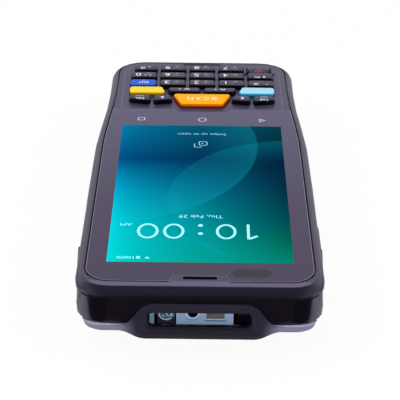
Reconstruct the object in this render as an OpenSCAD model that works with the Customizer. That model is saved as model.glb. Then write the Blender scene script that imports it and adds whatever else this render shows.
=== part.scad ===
// Handheld barcode data terminal, lying on its back with the glass up.
// X runs across it, Y from the scanner end (-Y) to the keypad end (+Y), Z up from the table.

/* [Body] */
// Length of the body
body_l = 155.5; // [152:0.5:166]
// Width of the body at the scanner end
scanner_w = 69.2; // [68.8:0.1:74]
// Width of the body where the waist begins
waist_w = 68.9; // [67.8:0.1:70.4]
// Width of the body beside the keys
keypad_w = 64.1; // [63.5:0.1:67]
// Height of the glass above the table
body_h = 22.5; // [22.2:0.1:26]
// Height of the front housing, from the housing joint up to the glass
front_h = 3.3; // [3.2:0.1:4]
// Wall of the housings
wall = 2; // [1.6:0.1:2.2]
// Wall behind the scan window
end_wall = 3.2; // [2.8:0.1:3.6]
// Floor of the rear housing
floor_t = 1.8; // [1.7:0.1:2.2]
// Corner radius at the scanner end
scanner_r = 9; // [7.5:0.1:10]
// Corner radius at the keypad end
keypad_r = 11.3; // [9:0.1:12.5]
// Rounding between the back and the sides
back_r = 7; // [5:0.5:8]
// Length of the chin, where the back rises to the scanner end
chin_l = 18; // [12:0.5:20]
// Height of the chin's top edge
chin_h = 8.9; // [8:0.1:9.6]
// Height of the lip above the chin
lip_h = 3.3; // [2.8:0.1:3.8]
// How far the lip draws in at its foot
lip_in = 0.7; // [0.4:0.1:1]
// How far the sides draw in below the lip, at the scanner end
foot_in = 2.8; // [2:0.1:3]
// Distance of the waist's start from the keypad end
waist_start = 70.5; // [66:0.25:74]
// Distance of the waist's end from the keypad end
waist_end = 25.75; // [22:0.25:30]
// Height that the corner bumpers stand proud of the sides, at their start
bumper_proud = 0.7; // [0.4:0.05:1.2]
// Depth that the corner bumpers are let into the housing
bumper_depth = 1; // [0.7:0.1:1.2]
// Gap between a corner bumper and the volume rocker
bumper_gap = 1.45; // [0.8:0.05:4]
// Length over which a bumper draws in towards the corner
bumper_taper = 29; // [26:0.5:31]
// How far a bumper draws in there
bumper_in = 2.1; // [1.9:0.1:2.4]
// Corner radius of the bumpers
bumper_r = 7; // [6:0.5:8]
// Distance of the near face behind the scan window's surround
face_back = 1.2; // [0.9:0.1:1.4]
// Height of the bevel round the glass side
rim_h = 1.9; // [1.6:0.1:2.2]
// Width of that bevel at the ends
rim_end = 1.8; // [1.5:0.1:2.1]
// Width of that bevel at the sides
rim_side = 1.3; // [1:0.1:1.4]

/* [Front panel] */
// Margin from the body's side to the recess of the front panel, at the screen
panel_margin = 2.7; // [2.5:0.1:3.2]
// The same margin beside the keys
keypad_margin = 2.65; // [2.4:0.05:3.2]
// Distance of the recess from the scanner end
panel_near = 5.2; // [4.8:0.1:5.6]
// Distance of the recess from the keypad end
panel_far = 2.3; // [2:0.1:3]
// Corner radius of the recess at the scanner end
panel_near_r = 7; // [6.5:0.1:8]
// Corner radius of the recess at the keypad end
panel_far_r = 8; // [6:0.5:9]
// Distance of the recess's waist from the keypad end, where it starts
panel_waist_start = 69.75; // [66:0.25:73]
// Distance of the recess's waist from the keypad end, where it ends
panel_waist_end = 23.75; // [21:0.25:28]
// Width of the dark groove round the front panel
groove_w = 0.5; // [0.3:0.1:0.7]
// Width of the ledge that carries the glass and the keypad panel
ledge_w = 2.2; // [2:0.1:2.4]
// Thickness of the glass
glass_t = 1.1; // [0.8:0.1:1.3]
// Thickness of the glass gasket
gasket_t = 0.3; // [0.2:0.1:0.4]
// Distance of the picture from the scanner end
screen_near = 15.4; // [15:0.1:17]
// Border of the glass beside the picture
screen_side = 5.33; // [5:0.01:6]
// Border between the picture and the glass's far edge
screen_far = 12.6; // [12:0.1:14]
// Margin of the display module round the picture
screen_margin = 2; // [1.6:0.1:2.1]
// Thickness of the display module
lcd_t = 2.2; // [1.8:0.1:2.2]
// Distance of the glass's far edge from the keypad end
glass_far = 41.1; // [40.6:0.1:41.6]
// Depth of the step in that edge behind the scan key
glass_step = 2.1; // [1.5:0.1:2.5]
// Half width of that step
glass_step_w = 8.1; // [7:0.1:9]
// Gap between the glass and the keypad panel
panel_gap = 0.2; // [0.1:0.05:0.3]
// Half width of the housing's tongue in the glass, at its root
tongue_w = 8.8; // [7.5:0.1:10]
// Length of the tongue
tongue_l = 2.85; // [2.6:0.05:3.4]
// Width of the tongue beside the slit, at its far edge
tongue_neck = 2.4; // [1.6:0.1:3]
// Width of the earpiece slit
slit_w = 9.2; // [8:0.1:11]
// Height of the earpiece slit
slit_h = 1.35; // [0.8:0.05:1.5]

/* [Keys] */
// Distance between the columns
key_pitch = 10.15; // [10:0.05:10.4]
// Distance of the first row's centre from the keypad end
key_first = 10; // [9.6:0.1:10.4]
// Distance between the number rows
row_pitch = 6.3; // [6.1:0.05:6.4]
// Width of a number key
key_w = 8.8; // [8.4:0.1:9]
// Depth of a key
key_d = 4.8; // [4.4:0.1:4.9]
// Half width of the key field
field_half = 24.7; // [24.3:0.1:24.9]
// Height of the keys above the panel
key_proud = 1.6; // [1.2:0.1:1.8]
// Height of the power key above the panel
power_proud = 0.5; // [0.3:0.1:0.8]
// Corner radius of the keys
key_r = 1.1; // [0.8:0.1:1.4]
// Bevel round the top of a key
key_bevel = 0.5; // [0.3:0.05:0.6]
// Travel of a key
key_travel = 0.8; // [0.5:0.05:0.85]
// Clearance between a key and its hole
key_gap = 0.2; // [0.15:0.01:0.25]
// Width of the flange that keeps a key under the panel
key_lip = 0.45; // [0.35:0.01:0.5]
// Thickness of that flange
key_lip_t = 0.8; // [0.6:0.1:0.9]

/* [Scan window] */
// Half width of the surround at its top
surround_top = 13.9; // [13:0.1:15]
// Half width of the surround at the chin
surround_wide = 20.6; // [19:0.1:22]
// Half width of the nose below the chin
nose_half = 16.4; // [15:0.1:17.5]
// Height of the surround's top edge below the glass
surround_drop = 4.3; // [4:0.1:4.8]
// Height of the nose's lower edge above the table
nose_z = 7.1; // [6.8:0.1:8]
// Height above the table where the surround is widest
flank_z = 11.8; // [11:0.1:12.2]
// Height of its upright part there
flank_h = 1.8; // [1.2:0.1:2.2]
// Rounding of the surround's corners
surround_r = 1.3; // [1:0.1:1.5]
// Size of the slanted corners at the surround's top
surround_ease = 1.4; // [1:0.1:2]
// Thickness of the surround
surround_t = 1.5; // [1.2:0.1:1.6]
// Half width of the window opening
window_half = 13.5; // [13:0.1:14.2]
// Height of the window opening
window_h = 4.8; // [4:0.1:5]
// Distance of the window's middle below the surround's top edge
window_drop = 4.6; // [4.4:0.1:4.9]
// Corner radius of the window opening
window_r = 1.2; // [0.8:0.1:1.6]
// Thickness of the window pane
pane_t = 0.8; // [0.6:0.1:1]
// Width of the scan engine
engine_w = 15.6; // [14:0.1:16]
// Depth of the scan engine
engine_d = 12; // [10:0.1:13]
// Place of the scan engine's middle across the window
engine_x = 1.45; // [1:0.05:2]
// Radius of the camera hole in the engine
lens_r = 1.4; // [1.2:0.1:1.8]
// Radius of the lamp lens beside the engine
lamp_r = 2.3; // [1.9:0.1:2.4]

/* [Side keys] */
// Length of a side trigger
trigger_l = 20; // [17:0.5:22]
// Height of a side trigger
trigger_h = 4.6; // [4:0.1:5]
// Distance of a trigger's middle from the scanner end
trigger_at = 67; // [64:0.5:70]
// Height that a trigger stands proud
trigger_proud = 0.35; // [0.2:0.05:0.8]
// Travel of a trigger
trigger_travel = 0.8; // [0.5:0.05:0.9]
// Length of the volume rocker
rocker_l = 15.1; // [13:0.1:16]
// Height of the volume rocker
rocker_h = 3.6; // [3:0.1:4]
// Distance of the rocker's middle from the scanner end
rocker_at = 40.85; // [40:0.05:43]
// Height that the rocker stands proud
rocker_proud = 0.6; // [0.3:0.05:0.7]
// Distance of the side keys' middle below the housing joint
side_drop = 4.7; // [4.4:0.1:5.2]
// Clearance between a side key and its slot
side_gap = 0.25; // [0.2:0.01:0.3]
// Width and thickness of the flange that keeps a side key in
side_lip = 0.6; // [0.5:0.1:0.7]

/* [Battery] */
// Width of the battery
battery_w = 43; // [40:0.5:44]
// Distance of the battery well's far wall from the keypad end
well_far = 20.5; // [20:0.5:22]
// Distance of its near wall from the scanner end
well_near = 73; // [70:0.5:78]
// Clearance between the battery well and the frame above it
well_clear = 0.8; // [0.5:0.1:1]
// Length of the battery contacts' bay in the well
contact_bay = 4; // [3.6:0.1:5]
// Wall of the battery well
well_wall = 1.2; // [1:0.1:1.3]
// Width of the ledge that the cover rests on
cover_ledge = 1.3; // [1.2:0.1:1.5]
// Clearance round the battery cover
cover_gap = 0.3; // [0.2:0.05:0.35]
// Thickness of the battery cover
cover_t = 1.45; // [1.3:0.05:1.5]
// Width of the latch's thumb pad
latch_w = 10; // [8:0.5:12]
// Length of the latch's thumb pad
latch_l = 5.5; // [5:0.1:6]
// Travel of the latch
latch_travel = 1.4; // [1:0.1:1.5]

/* [Inside] */
// Thickness of the inner frame
frame_t = 1.4; // [1.2:0.1:1.5]
// Thickness of the circuit boards
board_t = 1.2; // [1:0.1:1.3]
// Clearance between the inner frame and the rear housing's sides
frame_side = 2.45; // [2.2:0.05:3]
// How far the main board stays inside the inner frame
board_side = 1; // [0.6:0.1:1.5]
// Thickness of the keypad board
keyboard_t = 1; // [0.8:0.1:1.1]
// Thickness of the rubber key mat
mat_t = 1; // [0.8:0.1:1.1]
// Radius of the housing screws
screw_r = 0.95; // [0.8:0.05:1.1]
// Radius of their heads
screw_head_r = 1.9; // [1.7:0.1:2]
// Radius of the screw posts
post_r = 2.4; // [2.3:0.1:2.6]
// Distance of the screw posts from the inner frame's side
post_side = 7; // [6:0.5:8]
// How far the keypad end's posts lie further in
post_step = 3; // [2:0.5:4]
// Distance of the first screw posts from the scanner end
post_near = 26.5; // [25:0.5:28]
// Distance of the second screw posts from the scanner end
post_middle = 66.5; // [65:0.5:68]
// Distance of the last screw posts from the keypad end
post_far = 12.5; // [12:0.5:14]
// Length of a shield can
shield_l = 20; // [18:0.5:22]
// Width of a shield can
shield_w = 15; // [13:0.5:16]
// Distance of the shield cans from the scanner end
shield_at = 49; // [47:0.5:51]
// Distance of the card slot from the scanner end
card_at = 61; // [60:0.5:63]
// Distance of the card slot's near side from the middle
card_in = 6; // [5:0.5:8]
// Width of the loudspeaker
speaker_w = 16; // [14:0.5:17]
// Length of the loudspeaker
speaker_l = 12; // [10:0.5:12.5]
// Distance of the loudspeaker from the scanner end
speaker_at = 33; // [32.5:0.5:36]
// Clearance between the screw posts and what lies beside them
post_clear = 0.6; // [0.4:0.1:1]
// Length of an opening in the inner frame
frame_window_l = 12; // [10:0.5:14]
// Width of an opening in the inner frame
frame_window_w = 26; // [22:0.5:30]
// Length of the housing screws
screw_l = 12; // [11:0.5:12.5]

/* [Keypad end] */
// Width of the rubber port flap
flap_w = 14; // [13:0.5:16]
// Height of the port flap
flap_h = 6; // [5.6:0.1:6.4]
// Thickness of the port flap
flap_t = 1.2; // [1:0.1:1.3]
// Height of the flap's hinge line above the table
flap_z = 5.3; // [5.1:0.1:5.6]
// Width of the port's shell
port_w = 9; // [8.9:0.1:9.4]
// Height of the port's shell
port_h = 3.2; // [3.1:0.1:3.4]
// Number of charging contacts
contacts = 5; // [3:1:6]
// Distance between the charging contacts
contact_pitch = 3; // [2.6:0.1:3.2]

/* [Hidden] */
end_s = -body_l / 2;
end_k = body_l / 2;
part_z = body_h - front_h;
side_z = part_z - side_drop;
seat_gap = 0.15;
run_gap = 0.3;
tiny = 0.01;
corner_steps = 5;
side_steps = 10;

// Half widths at the scanner end, the waist's start and the keys, and the waist's two places
function plan_with(foot) =
    [scanner_w / 2 - foot, waist_w / 2, keypad_w / 2, end_k - waist_start, end_k - waist_end];
body_plan = plan_with(0);
recess_plan = [scanner_w / 2 - panel_margin, waist_w / 2 - panel_margin, keypad_w / 2 - keypad_margin,
    end_k - panel_waist_start, end_k - panel_waist_end];
bumper_half = half_at(end_s + bumper_taper, body_plan) + bumper_proud;
bumper_plan = [scanner_w / 2 + bumper_proud - bumper_in, bumper_half, bumper_half, end_s + bumper_taper, 0];
narrow_w = min(scanner_w, waist_w);
recess_s = end_s + panel_near;
recess_k = end_k - panel_far;

ledge_z = body_h - glass_t - gasket_t;
glass_s = recess_s + groove_w;
glass_k = end_k - glass_far;
screen_s = end_s + screen_near;
screen_w = narrow_w - 2 * (panel_margin + groove_w + screen_side);
screen_l = glass_k - screen_far - screen_s;
lcd_w = screen_w + 2 * screen_margin;
lcd_s = screen_s - screen_margin * 1.8;
lcd_k = screen_s + screen_l + screen_margin * 2.6;
lcd_z = body_h - glass_t - lcd_t;

// Keypad stack, from the panel down
lip_z = ledge_z - run_gap - key_lip_t;
stem_z = lip_z - 1;
dome_z = stem_z - key_travel - 0.1;
mat_z = dome_z - 0.5 - mat_t;
keyboard_z = mat_z - keyboard_t;
frame_low = keyboard_z - frame_t;
frame_high = lcd_z - frame_t;
frame_step = glass_k - glass_step - 4;

row_a = end_k - key_first;
row_b = row_a - row_pitch;
row_c = row_b - row_pitch;
row_d = row_c - row_pitch + 0.4;
row_e = row_d - row_pitch - 0.7;

well_k = end_k - well_far;
well_s = end_s + well_near;
battery_l = well_k - well_s - contact_bay;
battery_low = floor_t + 1.1;
battery_t = frame_low - well_clear - well_wall - run_gap - battery_low;
well_half = battery_w / 2 + 0.5;
well_top = battery_low + battery_t + run_gap;
board_z = well_top + well_wall + 0.6 + board_t;
cover_half = well_half + cover_ledge;
cover_s = well_s - cover_ledge - 1.2;
cover_k = well_k + cover_ledge + 1.8;
cover_z = 0.25;
hinge_r = 0.7;
hinge_pin_r = 0.45;
hinge_y = cover_s + cover_gap + hinge_r;
hinge_z = cover_z + hinge_r + 0.05;

frame_half = narrow_w / 2 - wall - frame_side;
board_half = frame_half - board_side;
post_places = [[frame_half - post_side, end_s + post_near], [frame_half - post_side, end_s + post_middle],
    [frame_half - post_side - post_step, end_k - post_far]];
post_joint = screw_l - 3;

bumper_l = rocker_at - rocker_l / 2 - bumper_gap;
port_z = flap_z + flap_h / 2;
flap_y = end_k - 0.5;

function lerp(a, b, t) = a + (b - a) * t;
function smooth(t) = t * t * (3 - 2 * t);
function unit(v) = v / norm(v);
function swapped(p) = [for (i = [len(p) - 1:-1:0]) [-p[i][0], p[i][1]]];

// Half width of a plan at y
function half_at(y, plan) = y <= plan[3]
    ? lerp(plan[0], plan[1], (y - end_s) / (plan[3] - end_s))
    : lerp(plan[1], plan[2], smooth(min(1, (y - plan[3]) / (plan[4] - plan[3]))));

// Right side of a plan outline between the ends s and k, with corner radii rs and rk
function right_side(plan, s, k, rs, rk, inset) =
    let (xs = half_at(s + rs, plan) - inset, xk = half_at(k - rk, plan) - inset)
    concat(
        [for (i = [0:corner_steps]) let (a = 90 * i / corner_steps)
            [xs - rs + rs * sin(a), s + rs - rs * cos(a)]],
        [for (i = [1:side_steps - 1]) let (y = lerp(s + rs, k - rk, i / side_steps))
            [half_at(y, plan) - inset, y]],
        [for (i = [0:corner_steps]) let (a = 90 * i / corner_steps)
            [xk - rk + rk * cos(a), k - rk + rk * sin(a)]]
    );
function outline(plan, s, k, rs, rk, inset = 0) =
    let (right = right_side(plan, s, k, rs, rk, inset)) concat(right, swapped(right));

// Corners of a polygon rounded to r, and a polygon moved inwards by d
function bend(p, i) =
    let (n = len(p), v = p[i], a = unit(p[(i + n - 1) % n] - v), b = unit(p[(i + 1) % n] - v))
    [v, a, b, cross(-a, b) >= 0 ? 1 : -1, acos(a * b) / 2];
function rounded(p, r, n = 4) = [for (i = [0:len(p) - 1])
    let (c = bend(p, i), m = c[0] + unit(c[1] + c[2]) * r / sin(c[4]),
         s = c[0] + c[1] * r / tan(c[4]) - m, a0 = atan2(s[1], s[0]))
    for (k = [0:n]) let (a = a0 + c[3] * (180 - 2 * c[4]) * k / n) m + r * [cos(a), sin(a)]];
function inward(p, d) = [for (i = [0:len(p) - 1]) let (c = bend(p, i))
    c[0] + c[3] * unit(c[1] + c[2]) * d / sin(c[4])];
function rect(w, h) = [[w, -h], [w, h], [-w, h], [-w, -h]] / 2;
function shifted(p, v) = [for (q = p) q + v];

// Solid through a stack of outlines that have as many points each: [[outline, z], ...]
module loft(rings) {
    n = len(rings[0][0]);
    points = [for (r = rings) for (p = r[0]) [p[0], p[1], r[1]]];
    sides = [for (k = [0:len(rings) - 2]) for (i = [0:n - 1])
        let (a = k * n + i, b = k * n + (i + 1) % n) each [[a, a + n, b + n], [a, b + n, b]]];
    top = (len(rings) - 1) * n;
    caps = [[for (i = [0:n - 1]) i], [for (i = [n - 1:-1:0]) top + i]];
    polyhedron(points = points, faces = concat(caps, sides));
}

// Straight prism of an outline between two heights
module prism(p, z0, z1) {
    translate([0, 0, z0]) linear_extrude(z1 - z0) polygon(p);
}

// Box from its lowest to its highest corner
module block(a, b) {
    translate(a) cube(b - a);
}

// Stands a flat drawing of (across, up) against a plane of constant y, from y0 to y1
module facing_scanner(y0, y1) {
    translate([0, y1, 0]) rotate([90, 0, 0]) linear_extrude(y1 - y0) children();
}

// Both sides of the body
module both() {
    children();
    mirror([1, 0, 0]) children();
}

// How far the back's rounding, the chin and the keypad end draw in at height z
function back_inset(z, r) = z >= r ? 0 : r - sqrt(r * r - (r - z) * (r - z));
lip_top = chin_h + lip_h;
function chin_inset(z) = z >= lip_top ? 0 : z >= chin_h ? lip_in * (lip_top - z) / lip_h
    : lip_in + chin_l * pow(1 - z / chin_h, 1.25);
foot_start = 0.12;
function foot_inset(z) = z > lip_top ? 0 : foot_in * min(1, foot_start + 2 * (lip_top - z) / lip_top);
side_draft = 0.45;
function side_inset(z) = back_inset(z, back_r) + side_draft * max(0, (z - side_z) / (part_z - side_z));

// Ring of the rear housing's outside at height z, moved inwards by d at the sides and e at the ends
rear_r = scanner_r + 1;
function rear_ring(z, d = 0, es = 0, ek = 0) = [outline(plan_with(foot_inset(z)),
    end_s + face_back + chin_inset(z) + es,
    end_k - back_inset(z, back_r + 1) - ek,
    rear_r - 0.4 * side_inset(z) - 0.5 * d, keypad_r - 0.4 * side_inset(z) - 0.5 * d,
    side_inset(z) + d), z];
rear_levels = [0, 0.7, 1.8, 3.2, 4.8, 6.2, chin_h, lip_top, side_z, part_z];

module rear_outside(d = 0, es = 0, ek = 0) {
    loft([for (z = rear_levels) rear_ring(z, d, es, ek)]);
}

// Hollow of the rear housing, open at the top
module rear_hollow() {
    loft([for (z = [floor_t, 3.2, 4.8, 6.2, chin_h, lip_top, side_z])
        rear_ring(z, wall, end_wall - face_back, wall)]);
    loft([for (z = [side_z - tiny, part_z + 1])
        [rear_ring(min(z, part_z), wall, end_wall - face_back, wall)[0], z]]);
}

// Outline of the scan window's surround, with the nose below it, as (across, up)
surround_z = body_h - surround_drop;
window_z = surround_z - window_drop;
function surround_shape(d = 0) =
    let (right = [[nose_half, nose_z], [surround_wide, flank_z - flank_h], [surround_wide, flank_z],
        [surround_top + surround_ease, surround_z - surround_ease],
        [surround_top - surround_ease, surround_z]])
    rounded(inward(concat(right, swapped(right)), -d), surround_r + d);

module nose() {
    hull() {
        facing_scanner(end_s + face_back, end_s + face_back + 1) polygon(surround_shape(0));
        block([-nose_half, end_s + chin_l - 1, 0.4], [nose_half, end_s + chin_l, 1.4]);
    }
}

function window_shape(d) = rounded(shifted(rect(2 * window_half + 2 * d, window_h + 2 * d), [0, window_z]),
    window_r + d / 2);
pane_y = end_s + end_wall - pane_t;
pane_lip = 1.2;

// Where a corner bumper lies: a band along the side, above the lip, and round the corner
module bumper_zone(grow = 0) {
    far = end_s + bumper_l;
    low = lip_top + 0.15;
    band = [[end_s - 2, low], [far - 5, low - 0.8], [far, low + 0.6], [far, part_z - 2.4],
        [far - 4.2, part_z + 1], [end_s - 2, part_z + 1]];
    translate([scanner_w / 2 - rear_r + 1, 0, 0]) rotate([90, 0, 90])
        linear_extrude(14) polygon(inward(band, -grow));
}
function bumper_ring(z) = [outline(bumper_plan, end_s + face_back + chin_inset(z), -bumper_taper, bumper_r, 5,
    side_inset(z)), z];

function stadium(l, h) = rounded(rect(l, h), h / 2 - tiny, 6);

// A flat drawing of (along Y, up) made solid from x0 to x1 on the +X side
module facing_side(x0, x1) {
    translate([x0, 0, 0]) rotate([90, 0, 90]) linear_extrude(x1 - x0) children();
}

trigger_y = end_s + trigger_at;
rocker_y = end_s + rocker_at;
function inner_at(y) = half_at(y, body_plan) - wall;
trigger_in = inner_at(trigger_y) - 1;
rocker_in = inner_at(rocker_y) - 1.1;

module screw_holes() {
    both() for (p = post_places) translate([p[0], p[1], 0]) {
        translate([0, 0, -1]) cylinder(h = 2.7, r = screw_head_r + 0.15, $fn = 32);
        translate([0, 0, 1]) cylinder(h = post_joint + 1, r = screw_r + 0.2, $fn = 24);
    }
}

module rear_housing() {
    color("#2e2c36") difference() {
        union() {
            difference() {
                union() {
                    rear_outside();
                    nose();
                }
                rear_hollow();
            }
            block([-well_half - well_wall, well_s - well_wall, 1],
                [well_half + well_wall, well_k + well_wall, well_top + well_wall]);
            block([-cover_half - 1.6, cover_s - 1.4, 1], [cover_half + 1.6, cover_k + 1.2, floor_t + 1]);
            both() for (p = post_places)
                translate([p[0], p[1], 1]) cylinder(h = post_joint - 1, r = post_r, $fn = 32);
        }
        // battery well, cover opening with its hinge holes, and the latch's way out
        block([-well_half, well_s, -1], [well_half, well_k, well_top]);
        block([-cover_half, cover_s, -1], [cover_half, cover_k, floor_t]);
        translate([-cover_half - 1.2, hinge_y, hinge_z]) rotate([0, 90, 0])
            cylinder(h = 2 * cover_half + 2.4, r = hinge_pin_r + 0.1, $fn = 24);
        block([-latch_w / 2 - 1.5, well_k - 2, -1], [latch_w / 2 + 1.5, cover_k + 0.9, floor_t + 1.05]);
        screw_holes();
        // scan window: seat of the surround, opening and rebate of the pane
        facing_scanner(end_s - 1, end_s + surround_t) polygon(surround_shape(seat_gap));
        facing_scanner(end_s - 1, end_s + end_wall + 1) polygon(window_shape(0.3));
        facing_scanner(pane_y - seat_gap, end_s + end_wall + 1) polygon(window_shape(pane_lip + seat_gap));
        // side keys
        both() facing_side(trigger_in - 2, 40)
            polygon(shifted(stadium(trigger_l + 2 * side_gap, trigger_h + 2 * side_gap),
                [trigger_y, side_z]));
        facing_side(rocker_in - 2, 40)
            polygon(shifted(stadium(rocker_l + 2 * side_gap, rocker_h + 2 * side_gap), [rocker_y, side_z]));
        // seats of the bumpers
        both() intersection() {
            bumper_zone(tiny);
            difference() {
                block([20, end_s - 2, 0], [40, 0, part_z + 1.5]);
                rear_outside(bumper_depth, bumper_depth, 0);
            }
        }
        // port, seat of its flap, charging contacts and speaker slots
        block([-port_w / 2 - 0.2, end_k - wall - 2, port_z - port_h / 2 - 0.2],
            [port_w / 2 + 0.2, end_k + 1, port_z + port_h / 2 + 0.2]);
        block([-flap_w / 2 - 0.2, flap_y - flap_t - 0.15, flap_z - 0.15],
            [flap_w / 2 + 0.2, end_k + 1, flap_z + flap_h + 0.2]);
        translate([-flap_w / 2 - 0.2, flap_y, flap_z]) rotate([0, 90, 0])
            cylinder(h = flap_w + 0.4, r = 0.5, $fn = 24);
        for (i = [0:contacts - 1])
            translate([(i - (contacts - 1) / 2) * contact_pitch, end_k - 10.5, 1])
                cube([1.8, 2.8, 3], center = true);
        for (i = [-2:2])
            block([speaker_x - speaker_w / 2 + 2, end_s + speaker_at - 0.5 + 2 * i, -1],
                [speaker_x + speaker_w / 2 - 2, end_s + speaker_at + 0.5 + 2 * i, 3]);
    }
}

// Opening inside the ledge that carries the glass and the keypad panel
module ledge_opening(z) {
    prism(outline(recess_plan, recess_s + ledge_w + 3, recess_k - ledge_w, panel_near_r - 5.5,
        panel_far_r - 2, ledge_w), z, body_h);
}

module front_housing() {
    // how far the bevel has gone at each height, with its two edges softened
    low = body_h - rim_h;
    bevel = [[part_z, 0], [low - 0.35, 0], [low + 0.3, 0.14], [body_h - 0.2, 0.86], [body_h, 1.08]];
    color("#3a3844") difference() {
        loft([for (b = bevel) let (side = rim_side * b[1], end = rim_end * b[1])
            [outline(body_plan, end_s + face_back + end, end_k - end, scanner_r - 0.8 * side,
                keypad_r - 0.8 * side, side_draft + side), b[0]]]);
        difference() {
            prism(outline(recess_plan, recess_s, recess_k, panel_near_r, panel_far_r), ledge_z, body_h + 1);
            prism(tongue(0), ledge_z - 1, body_h + 0.5);
        }
        ledge_opening(part_z - 1);
        slit_cut();
        block([-7, recess_s + 1.2, part_z - 1], [7, recess_s + ledge_w + 3.2, ledge_z - 0.8]);
    }
}

// The tongue that reaches into the glass, grown by d, and the earpiece's slit at its far edge
function tongue(d) = let (far = recess_s + tongue_l + d, neck = slit_w / 2 + tongue_neck + d)
    [[tongue_w + d, recess_s - 1], [neck, far], [-neck, far], [-tongue_w - d, recess_s - 1]];
slit_y = recess_s + tongue_l - slit_h / 2 - 0.1;
module slit_cut() {
    block([-slit_w / 2, slit_y - slit_h / 2, part_z - 1],
        [slit_w / 2, recess_s + tongue_l + 0.5, body_h + 1]);
}

module earpiece_mesh() {
    color("#15131a") block([-slit_w / 2 + 0.05, slit_y - slit_h / 2 + 0.05, ledge_z - 0.8],
        [slit_w / 2 - 0.05, slit_y + slit_h / 2 - 0.05, body_h - 0.6]);
}

module earpiece() {
    color("#8d8f96")
        prism(rounded(shifted(rect(12, 4.6), [0, recess_s + 3.8]), 1), lcd_z + 0.1, ledge_z - 0.85);
}

// The dividing line between the glass and the keypad panel, from left to right
function divide(y) = [[-40, y], [-glass_step_w - 1.9, y], [-glass_step_w, y - glass_step],
    [glass_step_w, y - glass_step], [glass_step_w + 1.9, y], [40, y]];

module touch_glass() {
    color("#3a3742") difference() {
        prism(outline(recess_plan, glass_s, recess_k - groove_w, panel_near_r - 0.3, panel_far_r - 0.3,
            groove_w), body_h - glass_t, body_h);
        prism(concat(divide(glass_k), [[40, end_k], [-40, end_k]]), 0, body_h + 1);
        prism(tongue(seat_gap), 0, body_h + 1);
    }
}

module display_gasket() {
    color("#0c0b0f") difference() {
        prism(outline(recess_plan, glass_s + 0.6, recess_k - 1.2, panel_near_r - 1, panel_far_r - 1, 1.1),
            ledge_z, body_h - glass_t);
        ledge_opening(0);
        prism(concat(divide(glass_k - 0.4), [[40, end_k], [-40, end_k]]), 0, body_h + 1);
        block([-tongue_w - 1, end_s, 0], [tongue_w + 1, recess_s + tongue_l + 0.5, body_h]);
    }
}

module lcd_module() {
    color("#c3c7cc") block([-lcd_w / 2, lcd_s, lcd_z], [lcd_w / 2, lcd_k, body_h - glass_t]);
}

module keypad_panel() {
    guard = 1.1;
    color("#4a4854") difference() {
        union() {
            difference() {
                prism(outline(recess_plan, glass_s, recess_k - groove_w, panel_near_r, panel_far_r - 0.3,
                    groove_w), ledge_z, body_h);
                prism(concat([[-40, end_s], [40, end_s]],
                    [for (i = [5:-1:0]) divide(glass_k + panel_gap)[i]]), 0, body_h + 1);
            }
            for (x = [power_x - 5, power_x + 5])
                prism(rounded(shifted(rect(guard, key_d), [x, row_a]), 0.5), body_h - 0.5, body_h + 0.6);
        }
        for (k = keys) prism(rounded(inward(k[1], -key_gap), key_r + key_gap), 0, body_h + 2);
        prism([[8, recess_k - 3.4], [6.4, recess_k - groove_w - 0.5], [-6.4, recess_k - groove_w - 0.5],
            [-8, recess_k - 3.4]], body_h - 0.25, body_h + 1);
    }
}

// Key outlines, written for the -X side where a key has a twin
function plain_key(column, row) = shifted(rect(key_w, key_d), [column * key_pitch, row]);
power_x = 2 * key_pitch - 0.4;
half_d = key_d / 2;
column_gap = key_pitch - key_w;
edge_in = 1.5 * key_pitch + column_gap / 2;
function wide_key(row) = [[-field_half, row - half_d], [-edge_in, row - half_d], [-edge_in, row + half_d],
    [-field_half, row + half_d]];
function corner_key(row) = [[-field_half + 0.9, row - half_d], [-edge_in, row - half_d],
    [-edge_in, row + half_d], [-field_half + 2.6, row + half_d], [-field_half + 0.9, row + 0.7]];
function colour_key(row) = [[-field_half, row - half_d], [-12.3, row - half_d], [-13.8, row + half_d],
    [-field_half, row + half_d]];
arrow_d = 3.6;
function arrow_key(row) = [[-10.7, row - arrow_d / 2], [-0.7, row - arrow_d / 2], [-0.7, row + arrow_d / 2],
    [-12.1, row + arrow_d / 2]];
function outer_soft_key(row) = [[-field_half + 0.1, row - half_d + 1.6], [-17.5, row - half_d],
    [-17.5, row + half_d], [-field_half + 0.1, row + half_d]];
function inner_soft_key(row) = [[-16.3, row - half_d], [-9.6, row - half_d + 1.4], [-11.3, row + half_d],
    [-16.3, row + half_d]];
scan_back = row_d - arrow_d / 2 - 1.5;
scan_depth = 8.2;
scan_key = [[-7, scan_back - scan_depth], [7, scan_back - scan_depth], [10, scan_back], [-10, scan_back]];

key_dark = "#3c3a42";
keys = [
    ["key_hash", corner_key(row_a), key_dark], ["key_9", plain_key(-1, row_a), key_dark],
    ["key_8", plain_key(0, row_a), key_dark], ["key_7", plain_key(1, row_a), key_dark],
    ["key_power", shifted(rect(7.2, key_d), [power_x, row_a]), "#5b5965"],
    ["key_0", wide_key(row_b), key_dark], ["key_6", plain_key(-1, row_b), key_dark],
    ["key_5", plain_key(0, row_b), key_dark], ["key_4", plain_key(1, row_b), key_dark],
    ["key_function", swapped(wide_key(row_b)), key_dark],
    ["key_enter", wide_key(row_c), "#3f5fd6"], ["key_3", plain_key(-1, row_c), key_dark],
    ["key_2", plain_key(0, row_c), key_dark], ["key_1", plain_key(1, row_c), key_dark],
    ["key_star", swapped(wide_key(row_c)), key_dark],
    ["key_yellow", colour_key(row_d), "#f5cf2b"], ["key_down", arrow_key(row_d), key_dark],
    ["key_up", swapped(arrow_key(row_d)), key_dark], ["key_cyan", swapped(colour_key(row_d)), "#5cc4ee"],
    ["key_delete", outer_soft_key(row_e), key_dark], ["key_right", inner_soft_key(row_e), key_dark],
    ["key_scan", scan_key, "#f59a1c"], ["key_left", swapped(inner_soft_key(row_e)), key_dark],
    ["key_tab", swapped(outer_soft_key(row_e)), key_dark]
];

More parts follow.
